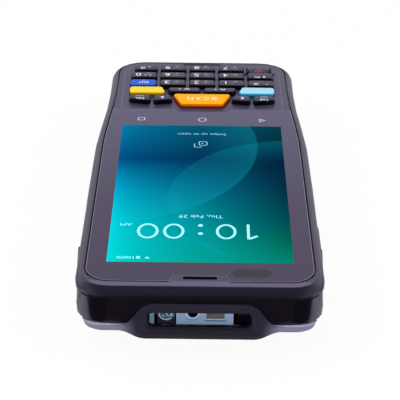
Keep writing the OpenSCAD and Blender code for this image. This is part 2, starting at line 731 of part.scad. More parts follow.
function middle(p) = [for (i = [0, 1]) (min([for (q = p) q[i]]) + max([for (q = p) q[i]])) / 2];

// A key cap: flange, straight sides, and a top that is bevelled and slightly domed
module key_cap(k) {
    top = body_h + (k[0] == "key_power" ? power_proud : key_proud);
    function ring(d, z) = [rounded(inward(k[1], d), max(0.2, key_r - d)), z];
    color(k[2]) union() {
        loft([ring(-key_lip, lip_z), ring(-key_lip, lip_z + key_lip_t), ring(0, lip_z + key_lip_t),
            ring(0, top - key_bevel * 0.9), ring(key_bevel * 0.3, top - key_bevel * 0.3),
            ring(key_bevel, top)]);
        translate(concat(middle(k[1]), [stem_z])) cylinder(h = lip_z - stem_z + 0.1, r = 1.2, $fn = 24);
    }
}

module key_mat() {
    edge = 26;
    color("#5d5c63") union() {
        block([-edge, scan_back - scan_depth - 1, mat_z], [edge, row_a + half_d + 1, mat_z + mat_t]);
        for (k = keys) translate(concat(middle(k[1]), [mat_z + mat_t - 0.1]))
            cylinder(h = dome_z - mat_z - mat_t + 0.1, r1 = 1.7, r2 = 1.3, $fn = 24);
    }
}

module keypad_board() {
    color("#1f5b3a") block([-26, scan_back - scan_depth - 1, keyboard_z], [26, row_a + half_d + 1, mat_z]);
}

module inner_frame() {
    half = frame_half;
    low_half = frame_half - 3.5;
    near_half = frame_half - 8;
    near = end_s + end_wall + 1.4;
    color("#a7aab0") difference() {
        union() {
            prism([[near_half, near], [half, near + half - near_half], [half, frame_step],
                [-half, frame_step], [-half, near + half - near_half], [-near_half, near]],
                frame_high, lcd_z);
            block([-low_half, frame_step - frame_t, frame_low], [low_half, frame_step, frame_high + tiny]);
            block([-low_half, frame_step - frame_t, frame_low], [low_half, row_a + half_d + 1, keyboard_z]);
            both() for (p = post_places) let (up = p[1] < frame_step ? frame_high : frame_low)
                translate([p[0], p[1], post_joint]) cylinder(h = up - post_joint + 0.2, r = post_r, $fn = 32);
        }
        both() for (p = post_places)
            translate([p[0], p[1], post_joint - 1])
                cylinder(h = screw_l - post_joint + 2, r = screw_r + 0.05, $fn = 24);
        for (t = [0.25, 0.46, 0.67])
            prism(rounded(shifted(rect(frame_window_w, frame_window_l), [0, lerp(near, frame_step, t)]), 3),
                frame_high - 1, lcd_z + 1);
        block([-14, end_s, frame_high - 1], [14, recess_s + ledge_w + 3.4, lcd_z + 1]);
    }
}

module main_board() {
    board_s = end_s + 22;
    color("#1c6b43") difference() {
        block([-board_half, board_s, board_z - board_t], [board_half, frame_step - frame_t - 1, board_z]);
        both() for (p = post_places)
            translate([p[0], p[1], 0]) cylinder(h = body_h, r = post_r + 0.3, $fn = 32);
    }
}

module shield_cans() {
    low = board_z - board_t - 2;
    color("#b9bcc1") {
        for (x = [-shield_w * 2 / 3, shield_w * 2 / 3])
            prism(rounded(shifted(rect(shield_w, shield_l), [x, end_s + shield_at]), 1),
                low, board_z - board_t);
    }
}

module card_slot() {
    side = post_places[1][0] - post_r - post_clear;
    color("#c9ccd0") block([-side, end_s + card_at, board_z - board_t - 1.4],
        [-card_in, well_s - well_wall - 1, board_z - board_t]);
}

module side_switches() {
    x = board_half;
    face = min(trigger_in, rocker_in) - trigger_travel - 0.05;
    function stand(at) = [[x, at - 2.2], [face, at - 2.2], [face, at + 2.2], [x, at + 2.2]];
    color("#1a191e") {
        both() prism(stand(trigger_y), side_z - 1.9, side_z + 1.9);
        for (d = [-4.6, 4.6]) prism(stand(rocker_y + d), side_z - 1.9, side_z + 1.9);
    }
}

module antenna_flex() {
    side = board_half;
    near = end_s + end_wall + 2.2;
    color("#b8742f") prism([[side - 14, near], [side - 6, near], [side, near + 6], [side, near + 17],
        [side - 5, near + 17], [side - 5, near + 8], [side - 9, near + 4], [side - 14, near + 4]],
        frame_high - 0.3, frame_high);
}

engine_front = end_s + end_wall + 0.8;
lens_z = window_z - 0.8;
module scan_engine() {
    front = engine_front;
    low = chin_h + 0.2;
    x0 = engine_x - engine_w / 2;
    x1 = engine_x + engine_w / 2;
    color("#7d8ba8") difference() {
        union() {
            block([x0, front, low], [x1, front + engine_d, frame_high - 0.8]);
            block([x0, front + 3, frame_high - 0.8], [x1 + 1, front + engine_d, frame_high]);
        }
        translate([x0 + 4.4, front - 1, lens_z]) rotate([-90, 0, 0]) cylinder(h = 5, r = lens_r, $fn = 32);
        block([x1 - 7.2, front - 1, lens_z - 1.6], [x1 - 2.4, front + 2, lens_z + 1.6]);
    }
}

module scan_lens() {
    color("#15181f") translate([engine_x - engine_w / 2 + 4.4, engine_front + 2.2, lens_z])
        rotate([-90, 0, 0]) cylinder(h = 1.6, r = lens_r - 0.05, $fn = 32);
}

module scan_led() {
    front = engine_front + 0.4;
    x = engine_x - engine_w / 2 - lamp_r - 0.8;
    color("#cfd8e4") union() {
        translate([x, front + 0.6, lens_z]) rotate([-90, 0, 0]) cylinder(h = 4, r = lamp_r, $fn = 32);
        translate([x, front + 0.6, lens_z]) sphere(r = lamp_r * 0.75, $fn = 32);
        block([x - 4.1, front + 4, lens_z - 2.8], [x + lamp_r + 0.3, front + 6, frame_high]);
        block([x - 4.3, front + 0.8, lens_z - 3], [x - 3.1, front + 4.5, lens_z + 1.7]);
    }
}

module scan_window() {
    color("#20242e") facing_scanner(pane_y, pane_y + pane_t) polygon(window_shape(pane_lip));
}

module scan_surround() {
    color("#17151c") difference() {
        translate([0, end_s + surround_t, 0]) rotate([90, 0, 0]) loft([[surround_shape(), 0],
            [surround_shape(), surround_t - face_back + 0.1], [surround_shape(-0.35), surround_t - 0.3],
            [surround_shape(-0.7), surround_t]]);
        facing_scanner(end_s - 1, end_s + surround_t + 1) polygon(window_shape(0));
        hull() {
            facing_scanner(end_s - 0.2, end_s - 0.1) polygon(window_shape(1.2));
            facing_scanner(end_s + 0.9, end_s + 1) polygon(window_shape(0.1));
        }
    }
}

module corner_bumpers() {
    color("#4d4b57") both() intersection() {
        bumper_zone();
        difference() {
            loft([for (z = [chin_h, lip_top, side_z, part_z]) bumper_ring(z)]);
            rear_outside(bumper_depth, bumper_depth, 0);
        }
    }
}

speaker_x = -post_places[0][0] + post_r + post_clear + speaker_w / 2;
module loudspeaker() {
    color("#26252b") prism(rounded(shifted(rect(speaker_w, speaker_l), [speaker_x, end_s + speaker_at]), 1.5),
        floor_t, floor_t + 4);
}

module vibration_motor() {
    color("#9b9da3") translate([13, end_s + 28, floor_t + 2.1])
        rotate([-90, 0, 0]) cylinder(h = 9, r = 2, $fn = 32);
}

module usb_connector() {
    front = flap_y - flap_t - 0.4;
    color("#9ea1a8") difference() {
        facing_scanner(front - 7.5, front) polygon(shifted(stadium(port_w, port_h), [0, port_z]));
        facing_scanner(front - 6, front + 1)
            polygon(shifted(stadium(port_w - 0.6, port_h - 0.6), [0, port_z]));
    }
    color("#1b1a20") block([-3.2, front - 6.2, port_z - 0.35], [3.2, front - 0.6, port_z + 0.35]);
}

module dock_contacts() {
    color("#d6a94f") union() {
        for (i = [0:contacts - 1])
            translate([(i - (contacts - 1) / 2) * contact_pitch, end_k - 10.5, 0.1 + floor_t / 2])
                cube([1.5, 2.5, floor_t], center = true);
        block([-contact_pitch * contacts / 2, end_k - 12, floor_t],
            [contact_pitch * contacts / 2, end_k - 9, floor_t + 1.2]);
    }
}

module battery_pack() {
    middle_y = well_k - 0.5 - battery_l / 2;
    color("#3b3d45") prism(rounded(shifted(rect(battery_w, battery_l), [0, middle_y]), 1.5),
        battery_low, battery_low + battery_t);
}

module battery_contacts() {
    color("#d3b261") block([-7, well_s, floor_t + 4], [7, well_s + 3.2, floor_t + 8]);
}

module battery_cover() {
    outer = cover_half - cover_gap;
    low = cover_z;
    far = cover_k - cover_gap;
    color("#33313b") union() {
        difference() {
            union() {
                prism([[outer, hinge_y], [outer, far - 3], [outer - 3, far], [3 - outer, far],
                    [-outer, far - 3], [-outer, hinge_y]], low, low + cover_t);
                translate([-outer, hinge_y, hinge_z]) rotate([0, 90, 0])
                    cylinder(h = 2 * outer, r = hinge_r, $fn = 32);
            }
            for (i = [0:3])
                block([-12, cover_s + 16 + 4 * i, low - 1], [12, cover_s + 17.4 + 4 * i, low + 0.4]);
            block([-latch_w / 2 - 0.2, latch_y - latch_l / 2 - latch_travel - 0.3, low - 1],
                [latch_w / 2 + 0.2, latch_y + latch_l / 2 + 0.2, floor_t + 1]);
        }
        translate([-outer - cover_gap - 0.9, hinge_y, hinge_z]) rotate([0, 90, 0])
            cylinder(h = 2 * (outer + cover_gap + 0.9), r = hinge_pin_r, $fn = 24);
    }
}

latch_y = well_k - 5;
module battery_latch() {
    color("#55535f") union() {
        block([-latch_w / 2, latch_y - latch_l / 2, cover_z + 0.2],
            [latch_w / 2, latch_y + latch_l / 2, floor_t + 0.2]);
        block([-latch_w / 2 - 1, latch_y - latch_l / 2 - 0.6, cover_z + cover_t + 0.15],
            [latch_w / 2 + 1, cover_k + 0.3, floor_t + 0.6]);
        for (i = [-1:1]) translate([0, latch_y + 1.5 * i, cover_z + 0.2])
            rotate([0, 90, 0]) cylinder(h = latch_w - 2, r = 0.15, center = true, $fn = 16);
    }
}

module housing_screws() {
    color("#8b8d93") both() for (p = post_places) translate([p[0], p[1], 0.3]) difference() {
        union() {
            cylinder(h = 1.3, r = screw_head_r, $fn = 32);
            cylinder(h = screw_l, r = screw_r, $fn = 24);
        }
        translate([0, 0, -0.1]) cylinder(h = 0.9, r = 0.8, $fn = 6);
    }
}

module side_trigger() {
    face = half_at(trigger_y, body_plan) + trigger_proud;
    function ring(d, x) = [rounded(shifted(rect(trigger_h - 2 * d, trigger_l - 2 * d), [-side_z, trigger_y]),
        trigger_h / 2 - d - tiny, 6), x];
    color("#e8731c") rotate([0, 90, 0]) union() {
        loft([ring(0, trigger_in), ring(0, face - 0.7), ring(0.3, face - 0.25), ring(1, face)]);
        loft([ring(-side_lip, trigger_in), ring(-side_lip, trigger_in + side_lip)]);
    }
}

module volume_rocker() {
    wide = half_at(rocker_y, body_plan);
    lip = rocker_in;
    function ring(d, x) = [rounded(shifted(rect(rocker_h - 2 * d, rocker_l - 2 * d), [-side_z, rocker_y]),
        rocker_h / 2 - d - tiny, 6), x];
    color("#34323c") rotate([0, 90, 0]) union() {
        loft([ring(0, lip), ring(0, wide + rocker_proud - 0.6), ring(0.3, wide + rocker_proud - 0.2),
            ring(0.9, wide + rocker_proud)]);
        loft([ring(-side_lip, lip), ring(-side_lip, lip + side_lip)]);
    }
}

module usb_flap() {
    color("#1d1c22") union() {
        intersection() {
            block([-flap_w / 2, flap_y - flap_t, flap_z], [flap_w / 2, end_k + 1, flap_z + flap_h]);
            loft([for (z = [4.8, 6.6, chin_h, side_z]) rear_ring(z, 0, 0, 0)]);
        }
        translate([-flap_w / 2, flap_y, flap_z]) rotate([0, 90, 0]) cylinder(h = flap_w, r = 0.35, $fn = 24);
    }
}

rear_housing();
front_housing();
keypad_panel();
touch_glass();
display_gasket();
lcd_module();
inner_frame();
main_board();
shield_cans();
card_slot();
side_switches();
antenna_flex();
key_mat();
keypad_board();
scan_engine();
scan_lens();
scan_led();
scan_window();
scan_surround();
earpiece();
earpiece_mesh();
corner_bumpers();
loudspeaker();
vibration_motor();
usb_connector();
dock_contacts();
battery_pack();
battery_contacts();
housing_screws();
battery_cover();
battery_latch();
usb_flap();
mirror([1, 0, 0]) side_trigger();  // trigger_left
side_trigger();  // trigger_right
volume_rocker();
for (k = keys) key_cap(k);
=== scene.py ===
import bmesh
import bpy
import math
from functools import partial
from mathutils import Matrix, Vector


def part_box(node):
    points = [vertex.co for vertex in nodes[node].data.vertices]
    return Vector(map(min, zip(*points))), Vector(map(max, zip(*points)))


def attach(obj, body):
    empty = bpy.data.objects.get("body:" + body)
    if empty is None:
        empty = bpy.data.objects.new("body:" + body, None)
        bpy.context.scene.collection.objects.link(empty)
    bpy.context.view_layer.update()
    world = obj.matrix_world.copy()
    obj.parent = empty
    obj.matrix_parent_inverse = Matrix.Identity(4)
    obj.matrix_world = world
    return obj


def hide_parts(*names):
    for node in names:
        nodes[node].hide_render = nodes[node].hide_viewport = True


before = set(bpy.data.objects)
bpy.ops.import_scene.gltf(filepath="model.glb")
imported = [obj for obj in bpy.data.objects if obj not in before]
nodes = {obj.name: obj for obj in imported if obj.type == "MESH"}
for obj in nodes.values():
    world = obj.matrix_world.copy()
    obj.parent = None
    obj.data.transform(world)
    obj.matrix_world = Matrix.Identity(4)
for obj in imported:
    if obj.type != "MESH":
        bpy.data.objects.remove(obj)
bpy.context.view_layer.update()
scene = bpy.context.scene
mm = 0.001
print("frame loaded:", len(nodes), "nodes")

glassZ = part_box("touch_glass")[1].z
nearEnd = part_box("scan_surround")[0].y
screenNear = nearEnd + 15.4 * mm  # the picture's edge at the scanner end
weldWithin = 0.002 * mm


# colours, nodes and materials
def hexColour(code):
    parts = [int(code[i:i + 2], 16) / 255 for i in (1, 3, 5)]
    return tuple(c / 12.92 if c <= 0.04045 else ((c + 0.055) / 1.055) ** 2.4 for c in parts) + (1,)


def darker(colour, share):
    # the colour with only a share of its light
    return tuple(c * share for c in colour[:3]) + (1,)


def fromTo(source, ends, origin=0.0):
    # inputs of a ramp that starts at the first end and is full at the second, in mm from the origin
    return {0: source, 1: origin + ends[0] * mm, 2: origin + ends[1] * mm}


def addNode(owner, kind, inputs=None, **settings):
    # owner is a material or world; inputs maps a socket to a value or to (node, output) that feeds it
    tree = owner.node_tree
    node = tree.nodes.new("ShaderNode" + kind)
    for key, value in settings.items():
        setattr(node, key, value)
    for key, value in (inputs or {}).items():
        if isinstance(value, tuple) and isinstance(value[0], bpy.types.Node):
            tree.links.new(value[0].outputs[value[1]], node.inputs[key])
        else:
            node.inputs[key].default_value = value
    return node


def newMaterial(name):
    # an empty material, and addNode for it
    material = bpy.data.materials.new(name)
    material.use_nodes = True
    material.node_tree.nodes.clear()
    return material, partial(addNode, material)


def closeMaterial(material, shader):
    output = addNode(material, "OutputMaterial", {"Surface": (shader, 0)})
    output.is_active_output = True
    return material


def mouldedPlastic(name, colour, grain=0.35, roughness=0.5, bump=0.08, specular=0.5, shade=0.12, paintedGlow=0.0,
                   side=None, sideBelow=0.0, paintedShadeDepth=0.0, nearHighlight=None):
    # injection-moulded PC/ABS: an even colour, spark-eroded grain of about 0.3 mm, flow shading over 17 mm;
    # side colours what lies below sideBelow, and goes over into painted shade, darkening paintedShadeDepth
    # further down;
    # nearHighlight paints a paler highlight on the flat top of the rim in front of the glass
    # paintedGlow is painted light: the surface gives off its own colour, though it is no lamp
    material, add = newMaterial(name)
    place = add("TexCoord"), "Object"
    cloud = add("TexNoise", {"Vector": place, "Scale": 60.0, "Detail": 3.0})
    base = hexColour(colour)
    tint = add("Mix", {0: (cloud, "Fac"), 6: darker(base, 1 - shade), 7: base}, data_type="RGBA")
    # painted highlight along the near rim's flat top
    if nearHighlight:
        split = add("SeparateXYZ", {0: place})
        inner = add("MapRange", fromTo((split, "Y"), nearHighlight["inner"]))
        outer = add("MapRange", fromTo((split, "Y"), nearHighlight["outer"]))
        near = add("Math", {0: (inner, 0), 1: (outer, 0)}, operation="MULTIPLY")
        tint = add("Mix", {0: (near, 0), 6: (tint, 2), 7: hexColour(nearHighlight["colour"])}, data_type="RGBA")
        flat = add("MapRange", fromTo((split, "Z"), nearHighlight["top"], glassZ))
        tint = add("Mix", {0: (flat, 0), 6: base, 7: (tint, 2)}, data_type="RGBA")
    colourFrom = (tint, 2)
    if side:
        split = add("SeparateXYZ", {0: place})
        level = add("MapRange", fromTo((split, "Z"), (-0.06, 0.06), sideBelow))
        below = hexColour(side)
        # painted shade: the side darkens towards its foot
        if paintedShadeDepth:
            depth = add("MapRange", fromTo((split, "Z"), (-0.4 * paintedShadeDepth, -paintedShadeDepth), sideBelow))
            shadeBelow = add("Mix", {0: (depth, 0), 6: below, 7: darker(below, 0.1)}, data_type="RGBA")
            below = (shadeBelow, 2)
        both = add("Mix", {0: (level, 0), 6: below, 7: (tint, 2)}, data_type="RGBA")
        colourFrom = (both, 2)
    fine = add("TexNoise", {"Vector": place, "Scale": 1 / (grain * mm), "Detail": 2.0})
    rough = add("MapRange", {0: (fine, "Fac"), 3: roughness - 0.06, 4: roughness + 0.06})
    relief = add("Bump", {"Height": (fine, "Fac"), "Strength": bump, "Distance": 0.05 * mm})
    shader = add("BsdfPrincipled", {
        "Base Color": colourFrom, "Roughness": (rough, 0), "Normal": (relief, 0),
        "Specular IOR Level": specular, "IOR": 1.5, "Emission Color": colourFrom, "Emission Strength": paintedGlow})
    return closeMaterial(material, shader)


def mouldedRubber(name, colour, roughness=0.75, specular=0.5):
    # moulded TPE: matte, with a soft sheen and a fine dusty grain of 0.4 mm
    material, add = newMaterial(name)
    place = add("TexCoord"), "Object"
    fine = add("TexNoise", {"Vector": place, "Scale": 1 / (0.4 * mm), "Detail": 2.0})
    base = hexColour(colour)
    tint = add("Mix", {0: (fine, "Fac"), 6: darker(base, 0.85), 7: base}, data_type="RGBA")
    relief = add("Bump", {"Height": (fine, "Fac"), "Strength": 0.15, "Distance": 0.05 * mm})
    shader = add("BsdfPrincipled", {
        "Base Color": (tint, 2), "Roughness": roughness, "Normal": (relief, 0),
        "Specular IOR Level": specular})
    return closeMaterial(material, shader)


def coverGlass(name, colour, haze=0.0, farTone=None):
    # chemically strengthened glass over black ink: the ink gives the colour, the glass a clean gloss in which
    # wiped patches of 25 mm show faintly;
    # farTone is what the colour goes over into towards the keypad
    material, add = newMaterial(name)
    place = add("TexCoord"), "Object"
    cloud = add("TexNoise", {"Vector": place, "Scale": 1 / (25 * mm), "Detail": 4.0})
    rough = add("MapRange", {0: (cloud, "Fac"), 3: 0.06 + haze, 4: 0.14 + haze})
    base = hexColour(colour)
    tint = add("Mix", {0: (cloud, "Fac"), 6: darker(base, 0.9), 7: base}, data_type="RGBA")
    if farTone:
        split = add("SeparateXYZ", {0: place})
        along = add("MapRange", fromTo((split, "Y"), farTone["ends"]))
        tint = add("Mix", {0: (along, 0), 6: (tint, 2), 7: hexColour(farTone["colour"])}, data_type="RGBA")
    shader = add("BsdfPrincipled", {
        "Base Color": (tint, 2), "Roughness": (rough, 0), "IOR": 1.5, "Specular IOR Level": 0.5})
    return closeMaterial(material, shader)


def metal(name, colour, roughness=0.35, grain=0.2, along=(1, 1, 1)):
    # plated or cast metal: streaked or speckled roughness at the grain's size
    material, add = newMaterial(name)
    place = add("TexCoord"), "Object"
    turned = add("Mapping", {"Vector": place, "Scale": along})
    fine = add("TexNoise", {"Vector": (turned, 0), "Scale": 1 / (grain * mm), "Detail": 3.0})
    rough = add("MapRange", {0: (fine, "Fac"), 3: roughness - 0.1, 4: roughness + 0.1})
    base = hexColour(colour)
    tint = add("Mix", {0: (fine, "Fac"), 6: darker(base, 0.8), 7: base}, data_type="RGBA")
    shader = add("BsdfPrincipled", {
        "Base Color": (tint, 2), "Roughness": (rough, 0), "Metallic": 1.0})
    return closeMaterial(material, shader)


def printedInk(name, colour, strength=0.0):
    # pad-printed ink: flat colour, broken at a quarter of a millimetre
    material, add = newMaterial(name)
    place = add("TexCoord"), "Object"
    fine = add("TexNoise", {"Vector": place, "Scale": 1 / (0.25 * mm), "Detail": 1.0})
    base = hexColour(colour)
    tint = add("Mix", {0: (fine, "Fac"), 6: darker(base, 0.9), 7: base}, data_type="RGBA")
    shader = add("BsdfPrincipled", {
        "Base Color": (tint, 2), "Roughness": 0.55, "Emission Color": (tint, 2),
        "Emission Strength": strength})
    return closeMaterial(material, shader)


def clearWindow(name, colour):
    # tinted acrylic: mostly see-through, with a clean gloss on its face, hazed over 11 mm
    material, add = newMaterial(name)
    place = add("TexCoord"), "Object"
    haze = add("TexNoise", {"Vector": place, "Scale": 90.0, "Detail": 2.0})
    rough = add("MapRange", {0: (haze, "Fac"), 3: 0.02, 4: 0.07})
    gloss = add("BsdfGlossy", {"Color": (1, 1, 1, 1), "Roughness": (rough, 0)})
    through = add("BsdfTransparent", {"Color": hexColour(colour)})
    fresnel = add("Fresnel", {"IOR": 1.35})
    blend = add("MixShader", {0: (fresnel, 0), 1: (through, 0), 2: (gloss, 0)})
    return closeMaterial(material, blend)


def litPicture(name, picture):
    # the display's lit picture: colours that run along and across it, under broad pale arcs
    material, add = newMaterial(name)
    place = add("TexCoord"), "Object"
    split = add("SeparateXYZ", {0: place})
    share = add("MapRange", fromTo((split, "X"), picture["across"]))
    across = add("Math", {0: (share, 0), 1: picture["spread"]}, operation="POWER")
    along = add("MapRange", fromTo((split, "Y"), (0, picture["length"]), screenNear))
    ramps = []
    for colours in (picture["left"], picture["right"]):
        ramp = add("ValToRGB", {0: (along, 0)})
        while len(ramp.color_ramp.elements) < len(colours):
            ramp.color_ramp.elements.new(0.5)
        for stop, (at, colour) in zip(ramp.color_ramp.elements, colours):
            stop.position, stop.color = at, hexColour(colour)
        ramps.append(ramp)
    light = add("Mix", {0: (across, 0), 6: (ramps[0], 0), 7: (ramps[1], 0)}, data_type="RGBA")
    for x, y, radius, strength in picture["arcs"]:
        centred = add("Mapping", {"Vector": place, "Location": (-x * mm, -y * mm, -glassZ)})
        reach = add("VectorMath", {0: (centred, 0)}, operation="LENGTH")
        end = add("MapRange", fromTo((reach, 1), (radius - picture["arcEnd"], radius))
                  | {3: strength, 4: 0.0})
        fade = add("MapRange", fromTo((reach, 1), (radius - picture["arcDepth"], radius)))
        veil = add("Math", {0: (end, 0), 1: (fade, 0)}, operation="MULTIPLY")
        light = add("Mix", {0: (veil, 0), 6: (light, 2), 7: hexColour(picture["veil"])}, data_type="RGBA")
    shader = add("Emission", {"Color": (light, 2), "Strength": 1.0})
    return closeMaterial(material, shader)


# finishing CAD nodes
def smoothGroup(name, limit):
    # welds the loose triangles and shades them smooth, apart from edges sharper than the limit in degrees
    group = bpy.data.node_groups.new(name, "GeometryNodeTree")
    group.interface.new_socket("Geometry", in_out="INPUT", socket_type="NodeSocketGeometry")
    group.interface.new_socket("Geometry", in_out="OUTPUT", socket_type="NodeSocketGeometry")
    start = group.nodes.new("NodeGroupInput")
    weld = group.nodes.new("GeometryNodeMergeByDistance")
    weld.inputs["Distance"].default_value = weldWithin
    soft = group.nodes.new("GeometryNodeSetShadeSmooth")
    angle = group.nodes.new("GeometryNodeInputMeshEdgeAngle")
    sharp = group.nodes.new("FunctionNodeCompare")
    sharp.operation = "GREATER_THAN"
    sharp.inputs[1].default_value = math.radians(limit)
    hard = group.nodes.new("GeometryNodeSetShadeSmooth")
    hard.domain = "EDGE"
    hard.inputs["Shade Smooth"].default_value = False
    end = group.nodes.new("NodeGroupOutput")
    link = group.links.new
    link(start.outputs[0], weld.inputs[0])
    link(weld.outputs[0], soft.inputs[0])
    link(angle.outputs[0], sharp.inputs[0])
    link(soft.outputs[0], hard.inputs[0])
    link(sharp.outputs[0], hard.inputs["Selection"])
    link(hard.outputs[0], end.inputs[0])
    return group


weldAndSmooth = smoothGroup("weldAndSmooth", 28)
weldAndKeepRim = smoothGroup("weldAndKeepRim", 24)


def dress(names, material, smoothing=weldAndSmooth):
    for name in names:
        piece = nodes[name]
        piece.data.materials.clear()
        piece.data.materials.append(material)
        piece.modifiers.new("shading", "NODES").node_group = smoothing


def makePiece(name, bm, material, body="root", smooth=False):
    bmesh.ops.recalc_face_normals(bm, faces=bm.faces)
    mesh = bpy.data.meshes.new(name)
    bm.to_mesh(mesh)
    bm.free()
    piece = bpy.data.objects.new(name, mesh)
    scene.collection.objects.link(piece)
    mesh.materials.append(material)
    for face in mesh.polygons:
        face.use_smooth = smooth
    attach(piece, body)
    return piece


def move(bm, vec, verts=None):
    bmesh.ops.translate(bm, verts=verts or bm.verts, vec=vec)


def resize(bm, vec):
    bmesh.ops.scale(bm, verts=bm.verts, vec=vec)


def rotate(bm, degrees, axis):
    bmesh.ops.rotate(bm, verts=bm.verts, matrix=Matrix.Rotation(math.radians(degrees), 3, axis))


def textMesh(words, height, width=None, bold=0.0):
    # a word as a flat mesh, centred on the origin, as tall as its capitals
    curve = bpy.data.curves.new(words, "FONT")
    curve.body = words
    curve.align_x, curve.align_y = "CENTER", "CENTER"
    curve.offset = bold
    curve.resolution_u = 4
    holder = bpy.data.objects.new(words, curve)
    scene.collection.objects.link(holder)
    bpy.context.view_layer.update()
    mesh = bpy.data.meshes.new_from_object(holder.evaluated_get(bpy.context.evaluated_depsgraph_get()))
    bpy.data.objects.remove(holder)
    bpy.data.curves.remove(curve)
    bm = bmesh.new()
    bm.from_mesh(mesh)
    bpy.data.meshes.remove(mesh)
    low = Vector([min(v.co[i] for v in bm.verts) for i in range(3)])
    high = Vector([max(v.co[i] for v in bm.verts) for i in range(3)])
    size = high - low
    factor = height / size.y
    stretch = (width / size.x) if width else factor
    move(bm, -(low + high) / 2)
    resize(bm, (stretch, factor, 1))
    return bm


def towardsUser(bm, x, y, z):
    # lays a flat drawing at its place so that it reads from the keypad end
    rotate(bm, 180, "Z")
    move(bm, (x * mm, y * mm, z))


def joinInto(whole, part):
    # adds one drawing to another, and frees it
    mesh = bpy.data.meshes.new("part")
    part.to_mesh(mesh)
    part.free()
    whole.from_mesh(mesh)
    bpy.data.meshes.remove(mesh)


def rectangle(width, height):
    # a flat rectangle in millimetres, centred on the origin
    bm = bmesh.new()
    bmesh.ops.create_grid(bm, x_segments=1, y_segments=1, size=0.5)
    resize(bm, (width * mm, height * mm, 1))
    return bm


def plate(width, height, radius):
    # the same with rounded corners
    bm = rectangle(width, height)
    bmesh.ops.bevel(bm, geom=bm.verts[:], affect="VERTICES", offset=radius * mm, offset_type="OFFSET",
                    segments=6, profile=0.5, material=-1)
    return bm


def triangle(width, height):
    # points towards +X
    bm = bmesh.new()
    corners = [bm.verts.new((x * mm, y * mm, 0)) for x, y in
               ((-width / 2, -height / 2), (width / 2, 0), (-width / 2, height / 2))]
    bm.faces.new(corners)
    return bm


def hollow(bm, line):
    # leaves only a border as wide as line
    bmesh.ops.recalc_face_normals(bm, faces=bm.faces)
    middle = bm.faces[:]
    bmesh.ops.inset_region(bm, faces=middle, thickness=line * mm, use_even_offset=True, use_boundary=True)
    bmesh.ops.delete(bm, geom=middle, context="FACES")


def lay(bm, x, y, z, turn=0):
    # turns a flat drawing, in degrees, and lays it at its place
    rotate(bm, turn, "Z")
    move(bm, (x * mm, y * mm, z))


def addPlate(whole, shape, x, y, z, turn=0, line=0.0):
    # joins a plate, or only its border as wide as line, into a drawing
    part = plate(*shape)
    if line:
        hollow(part, line)
    lay(part, x, y, z, turn)
    joinInto(whole, part)


def everything(bm):
    # all geometry, as a cut takes it
    return bm.verts[:] + bm.edges[:] + bm.faces[:]


def only(kind, geom):
    # the vertices, edges or faces that an operator gave back
    return [g for g in geom if isinstance(g, kind)]


def stand(bm, x, y, z):
    # stands a flat drawing up, facing the scanner end, in millimetres
    rotate(bm, 90, "X")
    move(bm, (x * mm, y * mm, z * mm))


# camera and stage
cameraPlace = {"location": (-0.1655, -406.411, 231.311), "forward": (-0.00020004, 0.87637246, -0.48163395),
               "right": (0.99993219, 0.00578349, 0.01010821), "lens": 131.177, "sensor": 36,
               "clip": (0.01, 20)}
cameraData = bpy.data.cameras.new("camera")
cameraData.lens, cameraData.sensor_width = cameraPlace["lens"], cameraPlace["sensor"]
cameraData.clip_start, cameraData.clip_end = cameraPlace["clip"]
camera = bpy.data.objects.new("camera", cameraData)
right = Vector(cameraPlace["right"]).normalized()
back = -Vector(cameraPlace["forward"]).normalized()
up = back.cross(right).normalized()
turn = Matrix((right, up, back)).transposed().to_4x4()
camera.matrix_world = Matrix.Translation(Vector(cameraPlace["location"]) * mm) @ turn
scene.collection.objects.link(camera)
scene.camera = camera

# where the mirrored sheet begins in front and at the sides, and where it dims to sideShare, in mm
stage = {"floorSize": 3.0, "floorDrop": 0.2, "backdrop": "#f0e9ff", "floorColour": "#f4f4f6",
         "shadowShare": 0.05, "sheetFrom": (-90, -84), "asideFrom": (60, 150), "dimFrom": (-66, -52),
         "sideShare": 0.5}
bm = bmesh.new()
bmesh.ops.create_grid(bm, x_segments=1, y_segments=1, size=stage["floorSize"] / 2)
floorMesh = bpy.data.meshes.new("floor")
bm.to_mesh(floorMesh)
bm.free()
floor = bpy.data.objects.new("floor", floorMesh)
floor.location.z = -stage["floorDrop"] * mm
scene.collection.objects.link(floor)


def paperFloor():
    # a white paper sweep: white to the camera apart from a faint shadow, and to what mirrors it a dark room
    # beyond its front edge
    material, add = newMaterial("paperFloor")
    path = add("LightPath")
    place = add("SeparateXYZ", {0: (add("NewGeometry"), "Position")})
    near = add("MapRange", fromTo((place, "Y"), stage["sheetFrom"]))
    aside = add("Math", {0: (place, "X")}, operation="ABSOLUTE")
    wide = add("MapRange", fromTo((aside, 0), stage["asideFrom"]))
    white = add("Math", {0: (near, 0), 1: (wide, 0)}, operation="MAXIMUM")
    along = add("MapRange", fromTo((place, "Y"), stage["dimFrom"]) | {3: 1.0, 4: stage["sideShare"]})
    white = add("Math", {0: (white, 0), 1: (along, 0)}, operation="MULTIPLY")
    paper = add("BsdfDiffuse", {"Color": hexColour(stage["floorColour"])})
    bright = add("Emission", {"Color": (1, 1, 1, 1), "Strength": 1.0})
    mirrored = add("Emission", {"Color": hexColour(stage["backdrop"]), "Strength": (white, 0)})
    toCamera = add("Math", {0: (path, "Is Camera Ray"), 1: 1 - stage["shadowShare"]}, operation="MULTIPLY")
    first = add("MixShader", {0: (toCamera, 0), 1: (paper, 0), 2: (bright, 0)})
    second = add("MixShader", {0: (path, "Is Glossy Ray"), 1: (first, 0), 2: (mirrored, 0)})
    return closeMaterial(material, second)


floorMesh.materials.append(paperFloor())

# behind, sides and overhead are directions, as parts of one
room = {"behind": (-0.25, 0.35), "sides": (0.45, 0.9), "overhead": (0.6, 0.95), "darkest": 0.1, "light": 0.6,
        "tint": (0.95, 0.96, 1, 1)}
world = bpy.data.worlds.new("studio")
scene.world = world
world.use_nodes = True
world.node_tree.nodes.clear()
add = partial(addNode, world)
path = add("LightPath")
